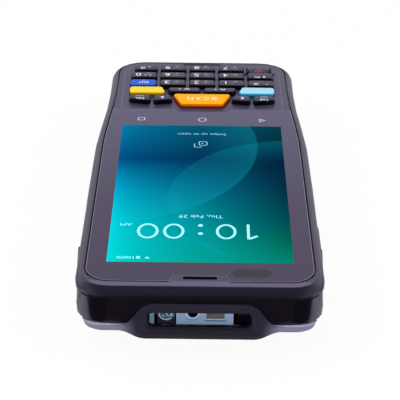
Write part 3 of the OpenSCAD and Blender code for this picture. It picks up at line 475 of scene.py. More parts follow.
# what mirrors sees: a white backdrop behind and at the sides, a dark room in front and overhead
way = add("SeparateXYZ", {0: (add("TexCoord"), "Generated")})
behind = add("MapRange", {0: (way, "Y"), 1: room["behind"][0], 2: room["behind"][1]})
aside = add("Math", {0: (way, "X")}, operation="ABSOLUTE")
sides = add("MapRange", {0: (aside, 0), 1: room["sides"][0], 2: room["sides"][1], 4: stage["sideShare"]})
pale = add("Math", {0: (behind, 0), 1: (sides, 0)}, operation="MAXIMUM")
overhead = add("MapRange", {0: (way, "Z"), 1: room["overhead"][0], 2: room["overhead"][1], 3: 1.0,
                            4: room["darkest"]})
backdrop = add("Math", {0: (pale, 0), 1: (overhead, 0)}, operation="MULTIPLY")
mirrored = add("Background", {"Color": hexColour(stage["backdrop"]), "Strength": (backdrop, 0)})
white = add("Background", {"Color": (1, 1, 1, 1), "Strength": 1.0})
plain = add("Background", {"Color": room["tint"], "Strength": room["light"]})
seen = add("Math", {0: (path, "Is Camera Ray"), 1: (path, "Is Transmission Ray")}, operation="MAXIMUM")
first = add("MixShader", {0: (seen, 0), 1: (plain, 0), 2: (white, 0)})
second = add("MixShader", {0: (path, "Is Glossy Ray"), 1: (first, 0), 2: (mirrored, 0)})
add("OutputWorld", {"Surface": (second, 0)})

# each lamp: its place in metres and its power
lamps = {"size": 0.7, "colour": "#f4f1ff", "keyLamp": ((-0.45, -0.32, 0.9), 5.4),
         "fillLamp": ((0.55, -0.32, 0.8), 3.2)}
for name in ("keyLamp", "fillLamp"):
    spot, power = lamps[name]
    data = bpy.data.lights.new(name, "AREA")
    data.shape, data.size, data.energy = "SQUARE", lamps["size"], power
    data.color = hexColour(lamps["colour"])[:3]
    lamp = bpy.data.objects.new(name, data)
    lamp.location = spot
    lamp.rotation_mode = "QUATERNION"
    lamp.rotation_quaternion = (-Vector(spot)).to_track_quat("-Z", "Y")
    lamp.visible_glossy = False
    scene.collection.objects.link(lamp)
print("camera and stage set")

# materials
lipColour = "#837e93"
housing = mouldedPlastic("darkHousingPlastic", "#18121b", roughness=0.2, bump=0.03)
shell = mouldedPlastic("backPartsPlastic", "#141218", roughness=0.3)
# the painted highlight on the near rim's flat top: where it begins and is full, from behind, from in front
# and from below
rimHighlight = {"colour": "#46425c", "inner": (-71.6, -72.6), "outer": (-75.4, -74.2), "top": (-0.12, -0.02),
           "deep": 1.85}
front = mouldedPlastic("frontHousingPlastic", "#201e2b", roughness=0.2, bump=0.0, specular=0.75,
                       side="#18121b", sideBelow=glassZ - rimHighlight["deep"] * mm, nearHighlight=rimHighlight)
panel = mouldedPlastic("keypadPanelPlastic", "#3c394f", roughness=0.34, bump=0.03)
bumper = mouldedRubber("bumperRubber", "#120e17", roughness=0.16, specular=1.0)
darkRubber = mouldedRubber("flapRubber", "#1b1a20")
glass = coverGlass("blackBorderGlass", "#2a1e36", farTone={"colour": "#3a3852", "ends": (-30, 34)})
screenBlack = coverGlass("unlitModule", "#0a0a0c")
windowPane = clearWindow("tintedWindow", "#eef1f6")
# painted light: the engine and the aiming lamp's lens glow, so that they stay bright behind the window
engineChassis = mouldedPlastic("engineChassis", "#a6b9cf", roughness=0.4, bump=0.03, paintedGlow=0.6)
lampLens = mouldedPlastic("lampLens", "#57606e", roughness=0.12, bump=0.0, paintedGlow=0.3)
lensGlass = coverGlass("cameraLensGlass", "#0b0d14")
castFrame = metal("castMagnesium", "#9a9ca3", roughness=0.5, grain=0.4)
board = mouldedPlastic("solderMask", "#1c6b43", roughness=0.35, grain=0.8)
tin = metal("tinPlate", "#b9bcc1", roughness=0.3, along=(1, 8, 1))
gold = metal("goldPlate", "#d8ab4a", roughness=0.25)
steel = metal("screwSteel", "#8b8d93", roughness=0.3)
film = mouldedPlastic("polyimideFilm", "#b8742f", roughness=0.3)
wrap = mouldedPlastic("batteryWrap", "#3b3d45", roughness=0.5)
blackPart = mouldedPlastic("blackMoulding", "#0c0b0f", roughness=0.55)
orangeTrigger = mouldedPlastic("orangeTrigger", "#e8641a", roughness=0.4)

dress(["rear_housing"], housing)
dress(["front_housing"], front, smoothing=weldAndKeepRim)
dress(["battery_cover", "battery_latch", "volume_rocker"], shell)
dress(["keypad_panel"], panel)
dress(["corner_bumpers"], bumper)
dress(["usb_flap", "display_gasket", "key_mat"], darkRubber)
dress(["touch_glass"], glass)
dress(["lcd_module"], screenBlack)
dress(["scan_window"], windowPane)
dress(["scan_engine"], engineChassis)
dress(["scan_led"], lampLens)
dress(["scan_lens"], lensGlass)
dress(["inner_frame"], castFrame)
dress(["main_board", "keypad_board"], board)
dress(["shield_cans", "card_slot", "usb_connector", "earpiece"], tin)
dress(["dock_contacts", "battery_contacts"], gold)
dress(["vibration_motor", "housing_screws"], steel)
dress(["antenna_flex"], film)
dress(["battery_pack"], wrap)
dress(["earpiece_mesh", "loudspeaker", "side_switches"], blackPart)
dress(["trigger_left", "trigger_right"], orangeTrigger)
print("frame dressed")

# keys
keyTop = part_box("key_5")[1].z
keyEdge = 0.07  # how far the dark keys' tops reach down their sides
# each coloured key: its top's colour, paler as a painted highlight, its side's colour, darker as painted
# shade, and how far the top's reaches down
keyLightAndShade = {"key_scan": ("#ffb304", "#ff6a04", 0.25), "key_yellow": ("#f9dc3c", "#b0820a", 0.5),
             "key_cyan": ("#a8dfec", "#10a4d4", 0.4), "key_enter": ("#2f64d2", "#0d2456", 0.3),
             "key_power": ("#3a3c44", "#0c0b0e", 0.25)}
darkKey = mouldedPlastic("darkKeyPlastic", "#3a3849", roughness=0.42, bump=0.03, side="#010101",
                         specular=0.35, sideBelow=keyTop - keyEdge * mm)
for name in [n for n in nodes if n.startswith("key_") and n != "key_mat"]:
    if name in keyLightAndShade:
        litTopColour, shadedSideColour, shadeBelow = keyLightAndShade[name]
        # painted highlight on the top, painted shade on the sides and their foot
        keyPlasticWithPaintedLight = mouldedPlastic(name.removeprefix("key_") + "KeyPlastic", litTopColour, roughness=0.5, bump=0.03,
                                side=shadedSideColour, specular=0.1, shade=0.05,
                                sideBelow=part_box(name)[1].z - shadeBelow * mm, paintedShadeDepth=1.0)
        dress([name], keyPlasticWithPaintedLight)
    else:
        dress([name], darkKey)

whiteInk = printedInk("whiteInk", "#f2f2f4", 0.12)
creamInk = printedInk("creamInk", "#ffd9bc", 0.15)
paleYellowInk = printedInk("paleYellowInk", "#f8d27c", 0.1)
yellowInk = printedInk("yellowInk", "#a39c34", 0.05)
redInk = printedInk("redInk", "#c22443", 0.05)
# heights, widths and places of the digit keys' legends, from the key's middle
legend = {"digit": 2.35, "digitWidth": 1.75, "digitAt": (-1.95, -0.1), "small": 0.62, "smallAt": (1.3, 0.85),
          "letters": 0.95, "letterWidth": 0.95, "widest": 3.0, "lettersAt": (1.3, -0.55), "lift": 0.02}
digitKeys = {"9": "WXYZ", "8": "TUV", "7": "PQRS", "6": "MNO", "5": "JKL", "4": "GHI", "3": "DEF", "2": "ABC",
             "1": ".,?", "0": "+ ="}


def onKey(name, x=0.0, y=0.0):
    # a place just over a key's top, from its middle
    low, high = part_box(name)
    return (low.x + high.x) / 2 / mm + x, (low.y + high.y) / 2 / mm + y, high.z + legend["lift"] * mm


for digit, letters in digitKeys.items():
    name = "key_" + digit
    bm = textMesh(digit, legend["digit"] * mm, legend["digitWidth"] * mm if digit != "1" else None)
    towardsUser(bm, *onKey(name, *legend["digitAt"]))
    small = textMesh("F" + digit, legend["small"] * mm)
    towardsUser(small, *onKey(name, *legend["smallAt"]))
    joinInto(bm, small)
    makePiece("legend" + digit, bm, whiteInk, name)
    width = min(legend["widest"], legend["letterWidth"] * len(letters))
    bm = textMesh(letters, legend["letters"] * mm, width * mm)
    towardsUser(bm, *onKey(name, *legend["lettersAt"]))
    makePiece("letters" + digit, bm, whiteInk if digit == "0" else yellowInk, name)

# each word: key, words, height, width, and its place from the key's middle
keyWords = [
    ("hash", "#", 1.8, 1.7, -1.1, -0.6), ("hash", "-", 0.25, 1.0, 1.2, 0.3),
    ("enter", "ENT", 1.35, 3.5, 0.0, -0.4), ("enter", "OK", 0.5, 1.2, 0.0, 1.3),
    ("function", "FN", 1.4, 1.7, -1.1, -1.3),
    ("star", "*", 1.9, 1.8, -1.7, -0.9), ("star", "-", 0.25, 0.8, 2.1, -1.0),
    ("delete", "DEL", 1.4, 3.1, -0.1, -0.8), ("delete", "FN", 0.6, 2.2, 0.0, 1.2),
    ("tab", "TAB", 1.4, 2.9, 0.0, -0.9), ("tab", "FN", 0.6, 2.0, 0.0, 1.3)]
joined = {}
for key, text, height, width, x, y in keyWords:
    bm = textMesh(text, height * mm, width * mm)
    towardsUser(bm, *onKey("key_" + key, x, y))
    joinInto(joined.setdefault(key, bmesh.new()), bm)
# the other signs are plates, each with its width, length and corner radius; an arrowhead is two leaning bars
signs = {"functionDot": (0.8, 0.9, 0.2), "functionAt": (1.3, -1.2), "dot": (0.55, 0.55, 0.1),
         "dotAt": (-1.5, 0.1), "bar": (1.1, 0.42, 0.1), "barX": 1.0, "barY": 0.15, "lean": 40,
         "sideBar": (1.35, 0.42, 0.1), "sideBarY": 0.2, "sideLean": 42, "spread": 0.4}
addPlate(joined["function"], signs["functionDot"], *onKey("key_function", *signs["functionAt"]))
for key, side in (("down", 1), ("up", -1)):
    joined[key] = bmesh.new()
    addPlate(joined[key], signs["dot"], *onKey("key_" + key, *signs["dotAt"]))
    for lean in (-1, 1):
        at = onKey("key_" + key, signs["barX"] + lean * signs["spread"], signs["barY"])
        addPlate(joined[key], signs["bar"], *at, turn=-lean * side * signs["lean"])
for key, side, shift in (("right", -1, -0.2), ("left", 1, 0.5)):
    joined[key] = bmesh.new()
    for lean in (-1, 1):
        at = onKey("key_" + key, shift, signs["sideBarY"] + lean * signs["spread"])
        addPlate(joined[key], signs["sideBar"], *at, turn=-lean * side * signs["sideLean"])
for key, bm in joined.items():
    makePiece("legend" + key.capitalize(), bm, whiteInk, "key_" + key)

yellowWord = {"height": 0.75, "width": 3.0, "up": 1.0}
bm = textMesh("ESC", yellowWord["height"] * mm, yellowWord["width"] * mm)
towardsUser(bm, *onKey("key_yellow", 0.0, yellowWord["up"]))
makePiece("legendYellow", bm, paleYellowInk, "key_yellow")
scanLetters = {"word": "SCAN", "height": 2.5, "width": 2.0, "pitch": 2.68, "shift": 0.1, "y": 41.85,
               "bold": 0.03}
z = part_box("key_scan")[1].z + legend["lift"] * mm
bm = bmesh.new()
for i, letter in enumerate(scanLetters["word"]):
    along = (len(scanLetters["word"]) - 1) / 2 - i
    drawn = textMesh(letter, scanLetters["height"] * mm, scanLetters["width"] * mm, bold=scanLetters["bold"])
    towardsUser(drawn, scanLetters["shift"] + along * scanLetters["pitch"], scanLetters["y"], z)
    joinInto(bm, drawn)
makePiece("legendScan", bm, creamInk, "key_scan")

powerSign = {"ring": (2.5, 2.1, 1.04), "line": 0.36, "bar": (0.4, 1.1, 0.1), "barUp": 0.3, "barLift": 0.01}
x, y, z = onKey("key_power")
bm = bmesh.new()
addPlate(bm, powerSign["ring"], x, y, z, line=powerSign["line"])
addPlate(bm, powerSign["bar"], x, y + powerSign["barUp"], z + powerSign["barLift"] * mm)
makePiece("powerSymbol", bm, redInk, "key_power")
print("keys done")

# keypad panel
guard = {"x": (15.75, 24.05), "shape": (0.7, 4.2, 0.45), "y": 68.0, "rise": 0.75, "foot": 0.02}
bm = bmesh.new()
for x in guard["x"]:
    rib = plate(*guard["shape"])
    top = bmesh.ops.extrude_face_region(rib, geom=rib.faces[:])["geom"]
    move(rib, (0, 0, guard["rise"] * mm), only(bmesh.types.BMVert, top))
    lay(rib, x, guard["y"], glassZ - guard["foot"] * mm)
    joinInto(bm, rib)
makePiece("powerKeyGuards", bm, blackPart)

# the panel's contour line: a rounded frame, cut off in front of near
contour = {"width": 54.4, "length": 60, "near": 36.9, "far": 71.8, "radius": 6.5, "line": 0.22, "lift": 0.01}
bm = plate(contour["width"], contour["length"], contour["radius"])
hollow(bm, contour["line"])
lay(bm, 0, contour["far"] - contour["length"] / 2, glassZ + contour["lift"] * mm)
bmesh.ops.bisect_plane(bm, geom=everything(bm), plane_co=(0, contour["near"] * mm, 0), plane_no=(0, -1, 0),
                       clear_outer=True)
contourLine = mouldedPlastic("panelContour", "#67657d", roughness=0.4, bump=0.03)
makePiece("panelContour", bm, contourLine)
print("panel done")

# lit display
picture = {"width": 51.84, "length": 86.4, "across": (-26, 26), "spread": 0.45, "veil": "#16c2dc",
           "left": ((0.0, "#02ebee"), (0.26, "#00e6f4"), (0.5, "#01b0dc"), (0.72, "#015590"),
                    (1.0, "#0186b6")),
           "right": ((0.0, "#007a58"), (0.28, "#00484f"), (0.5, "#022e44"), (0.72, "#021f3a"),
                     (1.0, "#053c49")),
           "arcs": ((-34, 10, 52, 0.16), (30, -26, 40, 0.1), (-20, -78, 34, 0.1)), "arcEnd": 0.3,
           "arcDepth": 16, "lift": 0.02, "textLift": 0.035}
bm = rectangle(picture["width"], picture["length"])
move(bm, (0, screenNear + picture["length"] * mm / 2, glassZ + picture["lift"] * mm))
makePiece("displayPicture", bm, litPicture("litPicture", picture))

lit = printedInk("litWhite", "#98e4f2", 0.35)
softLit = printedInk("litPaleBlue", "#90dfe9", 0.4)
dimLit = printedInk("litGreyBlue", "#83bcd3", 0.35)
screenZ = glassZ + picture["textLift"] * mm
# the clock: round figures, a colon and a one, from right to left; zeros gives their middles and widths
clock = {"far": -40.9, "near": -49.4, "line": 0.8, "zeros": ((-15.1, 6.2), (-7.65, 6.1), (7.35, 5.9)),
         "one": 13.7, "dots": (-41.75, -46.4), "dot": (1.45, 1.45, 0.72), "stemRadius": 0.05,
         "flag": (2.9, 0.85, 0.05), "flagFrom": (1.4, 1.1), "flagTurn": 35}
clockMiddle = (clock["far"] + clock["near"]) / 2
clockHeight = clock["far"] - clock["near"]
bm = bmesh.new()
for x, width in clock["zeros"]:
    zero = bmesh.new()
    bmesh.ops.create_circle(zero, cap_ends=True, segments=40, radius=0.5)
    resize(zero, (width * mm, clockHeight * mm, 1))
    hollow(zero, clock["line"])
    lay(zero, x, clockMiddle, screenZ)
    joinInto(bm, zero)
for y in clock["dots"]:
    addPlate(bm, clock["dot"], 0, y, screenZ)
addPlate(bm, (clock["line"], clockHeight, clock["stemRadius"]), clock["one"], clockMiddle, screenZ)
addPlate(bm, clock["flag"], clock["one"] + clock["flagFrom"][0], clock["near"] + clock["flagFrom"][1],
         screenZ, turn=clock["flagTurn"])
makePiece("clockFigures", bm, lit)

# each line of small text: its piece's drawing, words, height, width, and its middle
smallText = [("battery", "100%", 1.25, 4.9, -20.9, -60.0), ("screen", "Thu, Feb 29", 2.0, 12.8, 0.1, -36.4),
             ("screen", "AM", 1.5, 3.4, -21.4, -41.6), ("unlock", "Swipe up to open", 1.95, 15.6, 0.1, 17.9)]
drawings = {"battery": bmesh.new(), "screen": bmesh.new(), "unlock": bmesh.new()}
for drawing, text, height, width, x, y in smallText:
    line = textMesh(text, height * mm, width * mm)
    towardsUser(line, x, y, screenZ)
    joinInto(drawings[drawing], line)
faintLit = printedInk("litPale", "#74e4e6", 0.8)
makePiece("batteryText", drawings["battery"], faintLit)
# the battery's and the signal's small signs
status = {"y": -59.95, "cell": (1.0, 1.3, 0.1), "cellX": -17.25, "signal": (1.05, 1.6), "signalX": -14.7}
addPlate(drawings["screen"], status["cell"], status["cellX"], status["y"], screenZ)
signal = triangle(*status["signal"])
lay(signal, status["signalX"], status["y"], screenZ, turn=90)
joinInto(drawings["screen"], signal)
makePiece("screenText", drawings["screen"], softLit)
# the swipe words' sign: a card with a dot, and the corner of a second one behind it
lock = {"line": 0.32, "card": (2.8, 3.0, 0.75), "cardAt": (0.5, 11.1), "dot": (0.6, 0.6, 0.28),
        "dotAt": (0.3, 11.1), "tail": (2.6, 3.0, 0.9), "tailAt": (-1.1, 9.7), "cut": 0.2}
addPlate(drawings["unlock"], lock["card"], *lock["cardAt"], screenZ, line=lock["line"])
addPlate(drawings["unlock"], lock["dot"], *lock["dotAt"], screenZ)
tail = plate(*lock["tail"])
hollow(tail, lock["line"])
bmesh.ops.bisect_plane(tail, geom=everything(tail), plane_co=(lock["cut"] * mm, lock["cut"] * mm, 0),
                       plane_no=(1, 1, 0), clear_outer=True)
lay(tail, *lock["tailAt"], screenZ)
joinInto(drawings["unlock"], tail)
makePiece("unlockText", drawings["unlock"], dimLit)
print("display done")

# glass
navigation = {"line": 0.42, "lift": 0.02, "square": (2.5, 2.4, 0.3), "squareAt": (-19.9, 28.9),
              "ring": (2.9, 3.0, 1.44), "ringAt": (0.2, 28.6), "triangle": (2.3, 2.7),
              "triangleAt": (20.1, 28.6)}
touchInk = printedInk("touchSymbolInk", "#b9b5cc", 0.1)
symbolZ = glassZ + navigation["lift"] * mm
bm = bmesh.new()
addPlate(bm, navigation["square"], *navigation["squareAt"], symbolZ, line=navigation["line"])
addPlate(bm, navigation["ring"], *navigation["ringAt"], symbolZ, line=navigation["line"])
arrow = triangle(*navigation["triangle"])
hollow(arrow, navigation["line"])
lay(arrow, *navigation["triangleAt"], symbolZ)
joinInto(bm, arrow)
makePiece("touchSymbols", bm, touchInk)

sensor = {"x": 14.2, "y": -67.75, "shape": (11.0, 4.1, 2.03), "lift": 0.01}
sensorInk = coverGlass("sensorWindow", "#070609", haze=0.22)
bm = plate(*sensor["shape"])
lay(bm, sensor["x"], sensor["y"], glassZ + sensor["lift"] * mm)
makePiece("sensorWindow", bm, sensorInk)

# the polished edge of the glass, with a paler strip painted on as its highlight
glassBorder = {"line": 0.16, "lift": 0.01, "seal": 0.3, "sealOut": 0.26, "sealDrop": 0.03, "upward": 0.9}
bm = bmesh.new()
bm.from_mesh(nodes["touch_glass"].data)
bmesh.ops.remove_doubles(bm, verts=bm.verts, dist=weldWithin)
under = [f for f in bm.faces if f.normal.z < glassBorder["upward"]]
bmesh.ops.delete(bm, geom=under, context="FACES")
loose = [v for v in bm.verts if not v.link_faces]
bmesh.ops.delete(bm, geom=loose, context="VERTS")
# the black seal in the gap round it
seal = bm.copy()
glassLow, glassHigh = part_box("touch_glass")
glassMiddle = (glassLow + glassHigh) / 2
bmesh.ops.scale(seal, verts=seal.verts, space=Matrix.Translation(-glassMiddle),
                vec=[1 + 2 * glassBorder["sealOut"] * mm / s for s in (glassHigh - glassLow).xy] + [1])
hollow(seal, glassBorder["seal"])
move(seal, (0, 0, -glassBorder["sealDrop"] * mm))
sealRubber = mouldedRubber("glassSealRubber", "#08070b", specular=0.2)
makePiece("glassSeal", seal, sealRubber)
hollow(bm, glassBorder["line"])
move(bm, (0, 0, glassBorder["lift"] * mm))
edgeHighlight = coverGlass("glassEdgeHighlight", "#7d7990")
makePiece("glassEdge", bm, edgeHighlight)
print("glass done")

# surround of the scan window: a plate with soft shoulders, whose foot runs out along the lip on both sides
skin = {"outline": ((-14.9, 18.15), (-19.9, 11.3), (-28, 11.3), (-28, 9.7), (-20.4, 9.7), (-16.2, 7.35),
                    (16.2, 7.35), (20.4, 9.7), (28, 9.7), (28, 11.3), (19.9, 11.3), (14.9, 18.15)),
        "soft": (2.6, 1.8, 0.1, 0.1, 1.0, 1.5), "thick": 1.15, "openHalf": 14.1, "openHeight": 4.5,
        "rim": 0.95, "rimHeight": 1.6, "rimRadius": 1.8, "rimDeep": 0.9, "rimWithin": (15.2, 3.4),
        "drop": 0.55, "edge": 0.35, "cuts": (18, 19.5, 21, 22.5, 24, 25.5), "divesFrom": 19.5, "dive": 0.07,
        "back": 0.02}
paneMiddle = (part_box("scan_window")[0].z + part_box("scan_window")[1].z) / 2 - skin["drop"] * mm
bm = bmesh.new()
corners = [bm.verts.new((x * mm, z * mm, 0)) for x, z in skin["outline"]]
bm.faces.new(corners)
softness = list(skin["soft"]) + list(reversed(skin["soft"]))
for corner, soft in zip(corners, softness):
    bmesh.ops.bevel(bm, geom=[corner], affect="VERTICES", offset=soft * mm, offset_type="OFFSET", segments=7,
                    profile=0.5, material=-1)
bmesh.ops.delete(bm, geom=bm.faces[:], context="FACES_ONLY")
opening = plate(2 * (skin["openHalf"] + skin["rim"]), skin["openHeight"] + skin["rimHeight"],
                skin["rimRadius"])
move(opening, (0, paneMiddle, 0))
bmesh.ops.delete(opening, geom=opening.faces[:], context="FACES_ONLY")
joinInto(bm, opening)
bmesh.ops.triangle_fill(bm, edges=bm.edges[:], use_beauty=True)
for at in skin["cuts"]:
    for side in (-1, 1):
        bmesh.ops.bisect_plane(bm, geom=everything(bm), dist=1e-7, plane_co=(side * at * mm, 0, 0),
                               plane_no=(1, 0, 0))
rotate(bm, 90, "X")
for v in bm.verts:
    beyond = max(0, abs(v.co.x) / mm - skin["divesFrom"])
    v.co.y += skin["dive"] * beyond ** 2 * mm
# the slanted rim round the window, and the outer edge that turns back
paneCentre = Vector((0, 0, paneMiddle))
reachX, reachZ = [r * mm for r in skin["rimWithin"]]
hole = [e for e in bm.edges if e.is_boundary
        and all(abs(v.co.x) < reachX and abs(v.co.z - paneMiddle) < reachZ for v in e.verts)]
sides = [e for e in bm.edges if e.is_boundary and e not in hole]
inside = bmesh.ops.extrude_edge_only(bm, edges=hole)["geom"]
inner = only(bmesh.types.BMVert, inside)
shrink = (skin["openHalf"] / (skin["openHalf"] + skin["rim"]), 1,
          skin["openHeight"] / (skin["openHeight"] + skin["rimHeight"]))
bmesh.ops.scale(bm, verts=inner, vec=shrink, space=Matrix.Translation(-paneCentre))
move(bm, (0, skin["rimDeep"] * mm, 0), inner)
for edges, depth in ((only(bmesh.types.BMEdge, inside), skin["thick"] - skin["rimDeep"]),
                     (sides, skin["thick"])):
    turned = bmesh.ops.extrude_edge_only(bm, edges=edges)["geom"]
    move(bm, (0, depth * mm, 0), only(bmesh.types.BMVert, turned))
bmesh.ops.bevel(bm, geom=sides, affect="EDGES", offset=skin["edge"] * mm, offset_type="OFFSET", segments=3,
                profile=0.5, material=-1)
move(bm, (0, nearEnd + skin["back"] * mm, 0))


# where the surround's tones begin and are full, in mm: out and low for the lip's, foot and tucked for the
# foot's painted shade, slant and deep for the painted shade on the opening's rim and the painted black behind
# it; open is half the opening's width and height
surroundTone = {"colour": "#282533", "out": (16.5, 23), "low": (14, 11), "foot": (10.6, 9.4),
                "tucked": (17.5, 15.5), "slant": (0.1, 0.3), "deep": (0.94, 1.0), "open": (15.2, 2.9),
                "footShadeColour": "#1c1a25", "slantShadeColour": "#1d1b26", "deepShadeColour": "#060508"}


def surroundPlastic(name, tone):
    # the same PC/ABS as the housing, moulded matt, and paler where its foot runs out into the lip; painted
    # shade darkens its foot, the opening's rim and the black behind it
    material, add = newMaterial(name)
    place = add("TexCoord"), "Object"
    split = add("SeparateXYZ", {0: place})
    aside = add("Math", {0: (split, "X")}, operation="ABSOLUTE")
    fades = {}
    for key, source, origin in (("out", (aside, 0), 0), ("low", (split, "Z"), 0), ("foot", (split, "Z"), 0),
                                ("tucked", (aside, 0), 0), ("slant", (split, "Y"), nearEnd),
                                ("deep", (split, "Y"), nearEnd)):
        fades[key] = add("MapRange", fromTo(source, tone[key], origin))
    fades["out"].interpolation_type = "SMOOTHSTEP"
    width, height = [r * mm for r in tone["open"]]
    inside = add("Math", {0: (aside, 0), 1: width}, operation="LESS_THAN")
    under = add("Math", {0: (split, "Z"), 1: paneMiddle + height}, operation="LESS_THAN")
    over = add("Math", {0: (split, "Z"), 1: paneMiddle - height}, operation="GREATER_THAN")
    between = add("Math", {0: (under, 0), 1: (over, 0)}, operation="MULTIPLY")
    around = add("Math", {0: (inside, 0), 1: (between, 0)}, operation="MULTIPLY")
    tint = hexColour(tone["colour"])
    # the lip's colour, then painted shade on the foot, on the opening's slanted rim and deep inside it
    for first, second, colour in ((fades["out"], fades["low"], lipColour),
                                  (fades["foot"], fades["tucked"], tone["footShadeColour"]),
                                  (fades["slant"], around, tone["slantShadeColour"]),
                                  (fades["deep"], around, tone["deepShadeColour"])):
        share = add("Math", {0: (first, 0), 1: (second, 0)}, operation="MULTIPLY")
        tint = add("Mix", {0: (share, 0), 6: tint, 7: hexColour(colour)}, data_type="RGBA"), 2
    fine = add("TexNoise", {"Vector": place, "Scale": 3000.0, "Detail": 2.0})
    rough = add("MapRange", {0: (fine, "Fac"), 3: 0.36, 4: 0.48})
    shader = add("BsdfPrincipled", {
        "Base Color": tint, "Roughness": (rough, 0), "Specular IOR Level": 0.35, "IOR": 1.5})
    return closeMaterial(material, shader)


surround = surroundPlastic("windowSurroundPlastic", surroundTone)
windowSurround = makePiece("windowSurround", bm, surround, smooth=True)
for edge in windowSurround.data.edges:
    edge.use_edge_sharp = False
windowSurround.modifiers.new("soften", "NODES").node_group = weldAndSmooth
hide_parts("scan_surround")

# the lip under the near face: a low band along the front and round both corners, whose foot rises at the
# sides; its angles are in degrees round the corner, and rise gives the foot's height at some of them
lip = {"top": 11.45, "low": 9.25, "from": 20.0, "face": -76.6, "radius": 7.35, "corner": 26.6, "deep": 3.0,
       "sweep": 54, "steps": 20, "rise": ((0, 0.0), (15, 0.2), (30, 0.4), (38, 0.8), (46, 1.6), (54, 2.1)),
       "footUnder": 10, "sinksFrom": 32, "sink": 0.5, "highlightEdge": 0.3, "weld": 0.01, "sharp": 1.2,
       "rounding": 0.25}
# painted highlight: the band's top highlightEdge is paler than the lip colour below it
lipPlastic = mouldedPlastic("lipPlastic", "#b4b0c3", roughness=0.45, bump=0.06, specular=0.4, side=lipColour,
                            sideBelow=(lip["top"] - lip["highlightEdge"]) * mm)


def riseAt(angle):
    for (a0, r0), (a1, r1) in zip(lip["rise"], lip["rise"][1:]):
        if angle <= a1:
            return r0 + (r1 - r0) * (angle - a0) / (a1 - a0)
    return r1


whole = bmesh.new()
for side in (-1, 1):
    bm = rectangle(lip["deep"], lip["top"] - lip["low"])
    bmesh.ops.rotate(bm, verts=bm.verts, matrix=Matrix(((0, 0, 1), (1, 0, 0), (0, 1, 0))))
    move(bm, (lip["from"] * mm, (lip["face"] + lip["deep"] / 2) * mm, (lip["top"] + lip["low"]) / 2 * mm))
    run = bmesh.ops.extrude_face_region(bm, geom=bm.faces[:], use_keep_orig=True)["geom"]
    move(bm, ((lip["corner"] - lip["from"]) * mm, 0, 0), only(bmesh.types.BMVert, run))
    centre = Vector((lip["corner"], lip["face"] + lip["radius"], 0)) * mm
    bmesh.ops.spin(bm, geom=run, cent=centre, axis=(0, 0, 1), angle=math.radians(lip["sweep"]),
                   steps=lip["steps"], use_duplicate=False)
    for v in [v for v in bm.verts if v.co.x > lip["corner"] * mm + 1e-6]:
        spot = v.co - centre
        angle = math.degrees(math.atan2(spot.x, -spot.y))
        if v.co.z < lip["footUnder"] * mm:
            v.co.z += riseAt(angle) * mm
        # the end sinks into the corner
        past = max(0, (angle - lip["sinksFrom"]) / (lip["sweep"] - lip["sinksFrom"]))
        inward = Vector((-spot.x, -spot.y, 0)).normalized()
        v.co += inward * lip["sink"] * past ** 2 * mm
    if side < 0:
        resize(bm, (-1, 1, 1))
    joinInto(whole, bm)
bmesh.ops.remove_doubles(whole, verts=whole.verts, dist=lip["weld"] * mm)
rims = [e for e in whole.edges if len(e.link_faces) == 2 and e.calc_face_angle() > lip["sharp"]]
bmesh.ops.bevel(whole, geom=rims, affect="EDGES", offset=lip["rounding"] * mm, offset_type="OFFSET",
                segments=2, profile=0.5, material=-1)
nearLip = makePiece("nearLip", whole, lipPlastic, smooth=True)
nearLip.modifiers.new("soften", "NODES").node_group = weldAndSmooth
print("surround done")

# what shows through the scan window
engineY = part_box("scan_engine")[0].y / mm
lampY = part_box("scan_led")[0].y / mm


def paintedGlowPlastic(name, colour, roughness, paintedGlow, shade=0.12):
    # a smooth moulding that glows with painted light, though it is no lamp
    return mouldedPlastic(name, colour, roughness=roughness, bump=0.0, paintedGlow=paintedGlow, shade=shade)


# upright plates: the engine's light filter and seal, its camera port with a bezel and its shaded edge, and
# the aiming lamp's light guide, base and round face; all but the port glow with painted light; each has a
# shape and a place across, along and up
behindWindow = [
    ("illuminatorFilter", paintedGlowPlastic("illuminatorFilter", "#7d7a66", 0.2, 0.35), "engine_plastic",
     (5.0, 2.6, 0.1), 4.35, engineY - 0.03, 12.9),
    ("engineSeal", printedInk("engineSealInk", "#3f7f88", 0.2), "engine_plastic",
     (5.95, 0.3, 0.1), 4.35, engineY - 0.02, 10.95),
    ("portShade", paintedGlowPlastic("portShadePlastic", "#6f8099", 0.4, 0.3), "engine_plastic",
     (4.36, 4.36, 2.16), -1.95, engineY - 0.02, 13.23),
    ("portBezel", paintedGlowPlastic("portBezelPlastic", "#c3cfe4", 0.4, 0.6), "engine_plastic",
     (4.2, 4.2, 2.08), -1.95, engineY - 0.04, 13.35),
    ("cameraPort", blackPart, "engine_plastic",
     (2.84, 2.84, 1.4), -1.86, engineY - 0.06, 13.4),
    ("lightGuide", paintedGlowPlastic("lightGuidePlastic", "#86a6b2", 0.15, 0.55, 0.35), "lamp_plastic",
     (1.2, 4.0, 0.15), -12.95, lampY - 0.01, 12.3),
    ("lampBase", paintedGlowPlastic("lampBasePlastic", "#3e3a48", 0.15, 0.3, 0.35), "lamp_plastic",
     (4.8, 3.6, 0.1), -9.1, lampY - 0.01, 12.1),
    ("lampFace", paintedGlowPlastic("lampFacePlastic", "#63737f", 0.15, 0.5, 0.35), "lamp_plastic",
     (4.6, 4.6, 2.28), -9.05, lampY - 0.02, 13.65)]
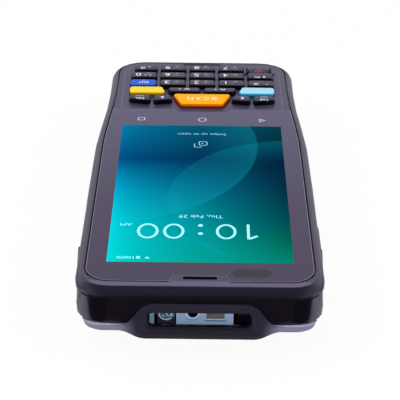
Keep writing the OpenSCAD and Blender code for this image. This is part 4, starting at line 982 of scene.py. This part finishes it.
for name, material, slot, shape, x, y, z in behindWindow:
    bm = plate(*shape)
    stand(bm, x, y, z)
    makePiece(name, bm, material)
# the lamp lens's glints: a part of a ring, and round spots, each with its shape, border and place
glints = {"ring": (4.2, 4.2, 2.08), "line": 0.22, "x": -9.05, "z": 13.65, "cutAt": 0.4, "cutSlope": 0.6,
          "out": 0.03, "spots": (((1.5, 1.5, 0.73), 0.16, -8.3, 13.5), ((0.5, 0.5, 0.23), 0, -7.6, 13.2),
                                 ((0.35, 0.35, 0.155), 0, -9.9, 12.9)), "spotsOut": 0.035}
bm = plate(*glints["ring"])
hollow(bm, glints["line"])
bmesh.ops.bisect_plane(bm, geom=everything(bm), plane_co=(glints["cutAt"] * mm, 0, 0),
                       plane_no=(1, glints["cutSlope"], 0), clear_outer=True)
stand(bm, glints["x"], lampY - glints["out"], glints["z"])
for shape, line, x, z in glints["spots"]:
    glint = plate(*shape)
    if line:
        hollow(glint, line)
    stand(glint, x, lampY - glints["spotsOut"], z)
    joinInto(bm, glint)
glintInk = printedInk("lensGlint", "#c2dbe2", 0.6)
makePiece("lampGlints", bm, glintInk)
# the dark wall of the cavity beside the engine, with a faint painted glow
cavity = {"shape": (4.1, 5.4, 0.1), "x": 12.35, "behind": 2.0, "z": 11.9}
bm = plate(*cavity["shape"])
stand(bm, cavity["x"], engineY + cavity["behind"], cavity["z"])
cavityWall = paintedGlowPlastic("cavityWallPlastic", "#2a1f26", 0.5, 0.12)
makePiece("cavityWall", bm, cavityWall)
# ribbon cable of the engine, folded in the cavity beside it; its ink glows faintly with painted light
cable = {"from": 10.3, "step": 0.52, "folds": 5, "z": 12.6, "y": -72.6, "fold": (0.75, 0.16, 0.05),
         "lean": 35}
bm = bmesh.new()
for i in range(cable["folds"]):
    fold = plate(*cable["fold"])
    lay(fold, 0, 0, 0, turn=cable["lean"] if i % 2 else -cable["lean"])
    stand(fold, cable["from"] + cable["step"] * (i + 0.5), cable["y"], cable["z"])
    joinInto(bm, fold)
cableInk = printedInk("ribbonCable", "#8d8f99", 0.15)
makePiece("ribbonCable", bm, cableInk)
print("scan window done")

scene.view_settings.view_transform = "Standard"
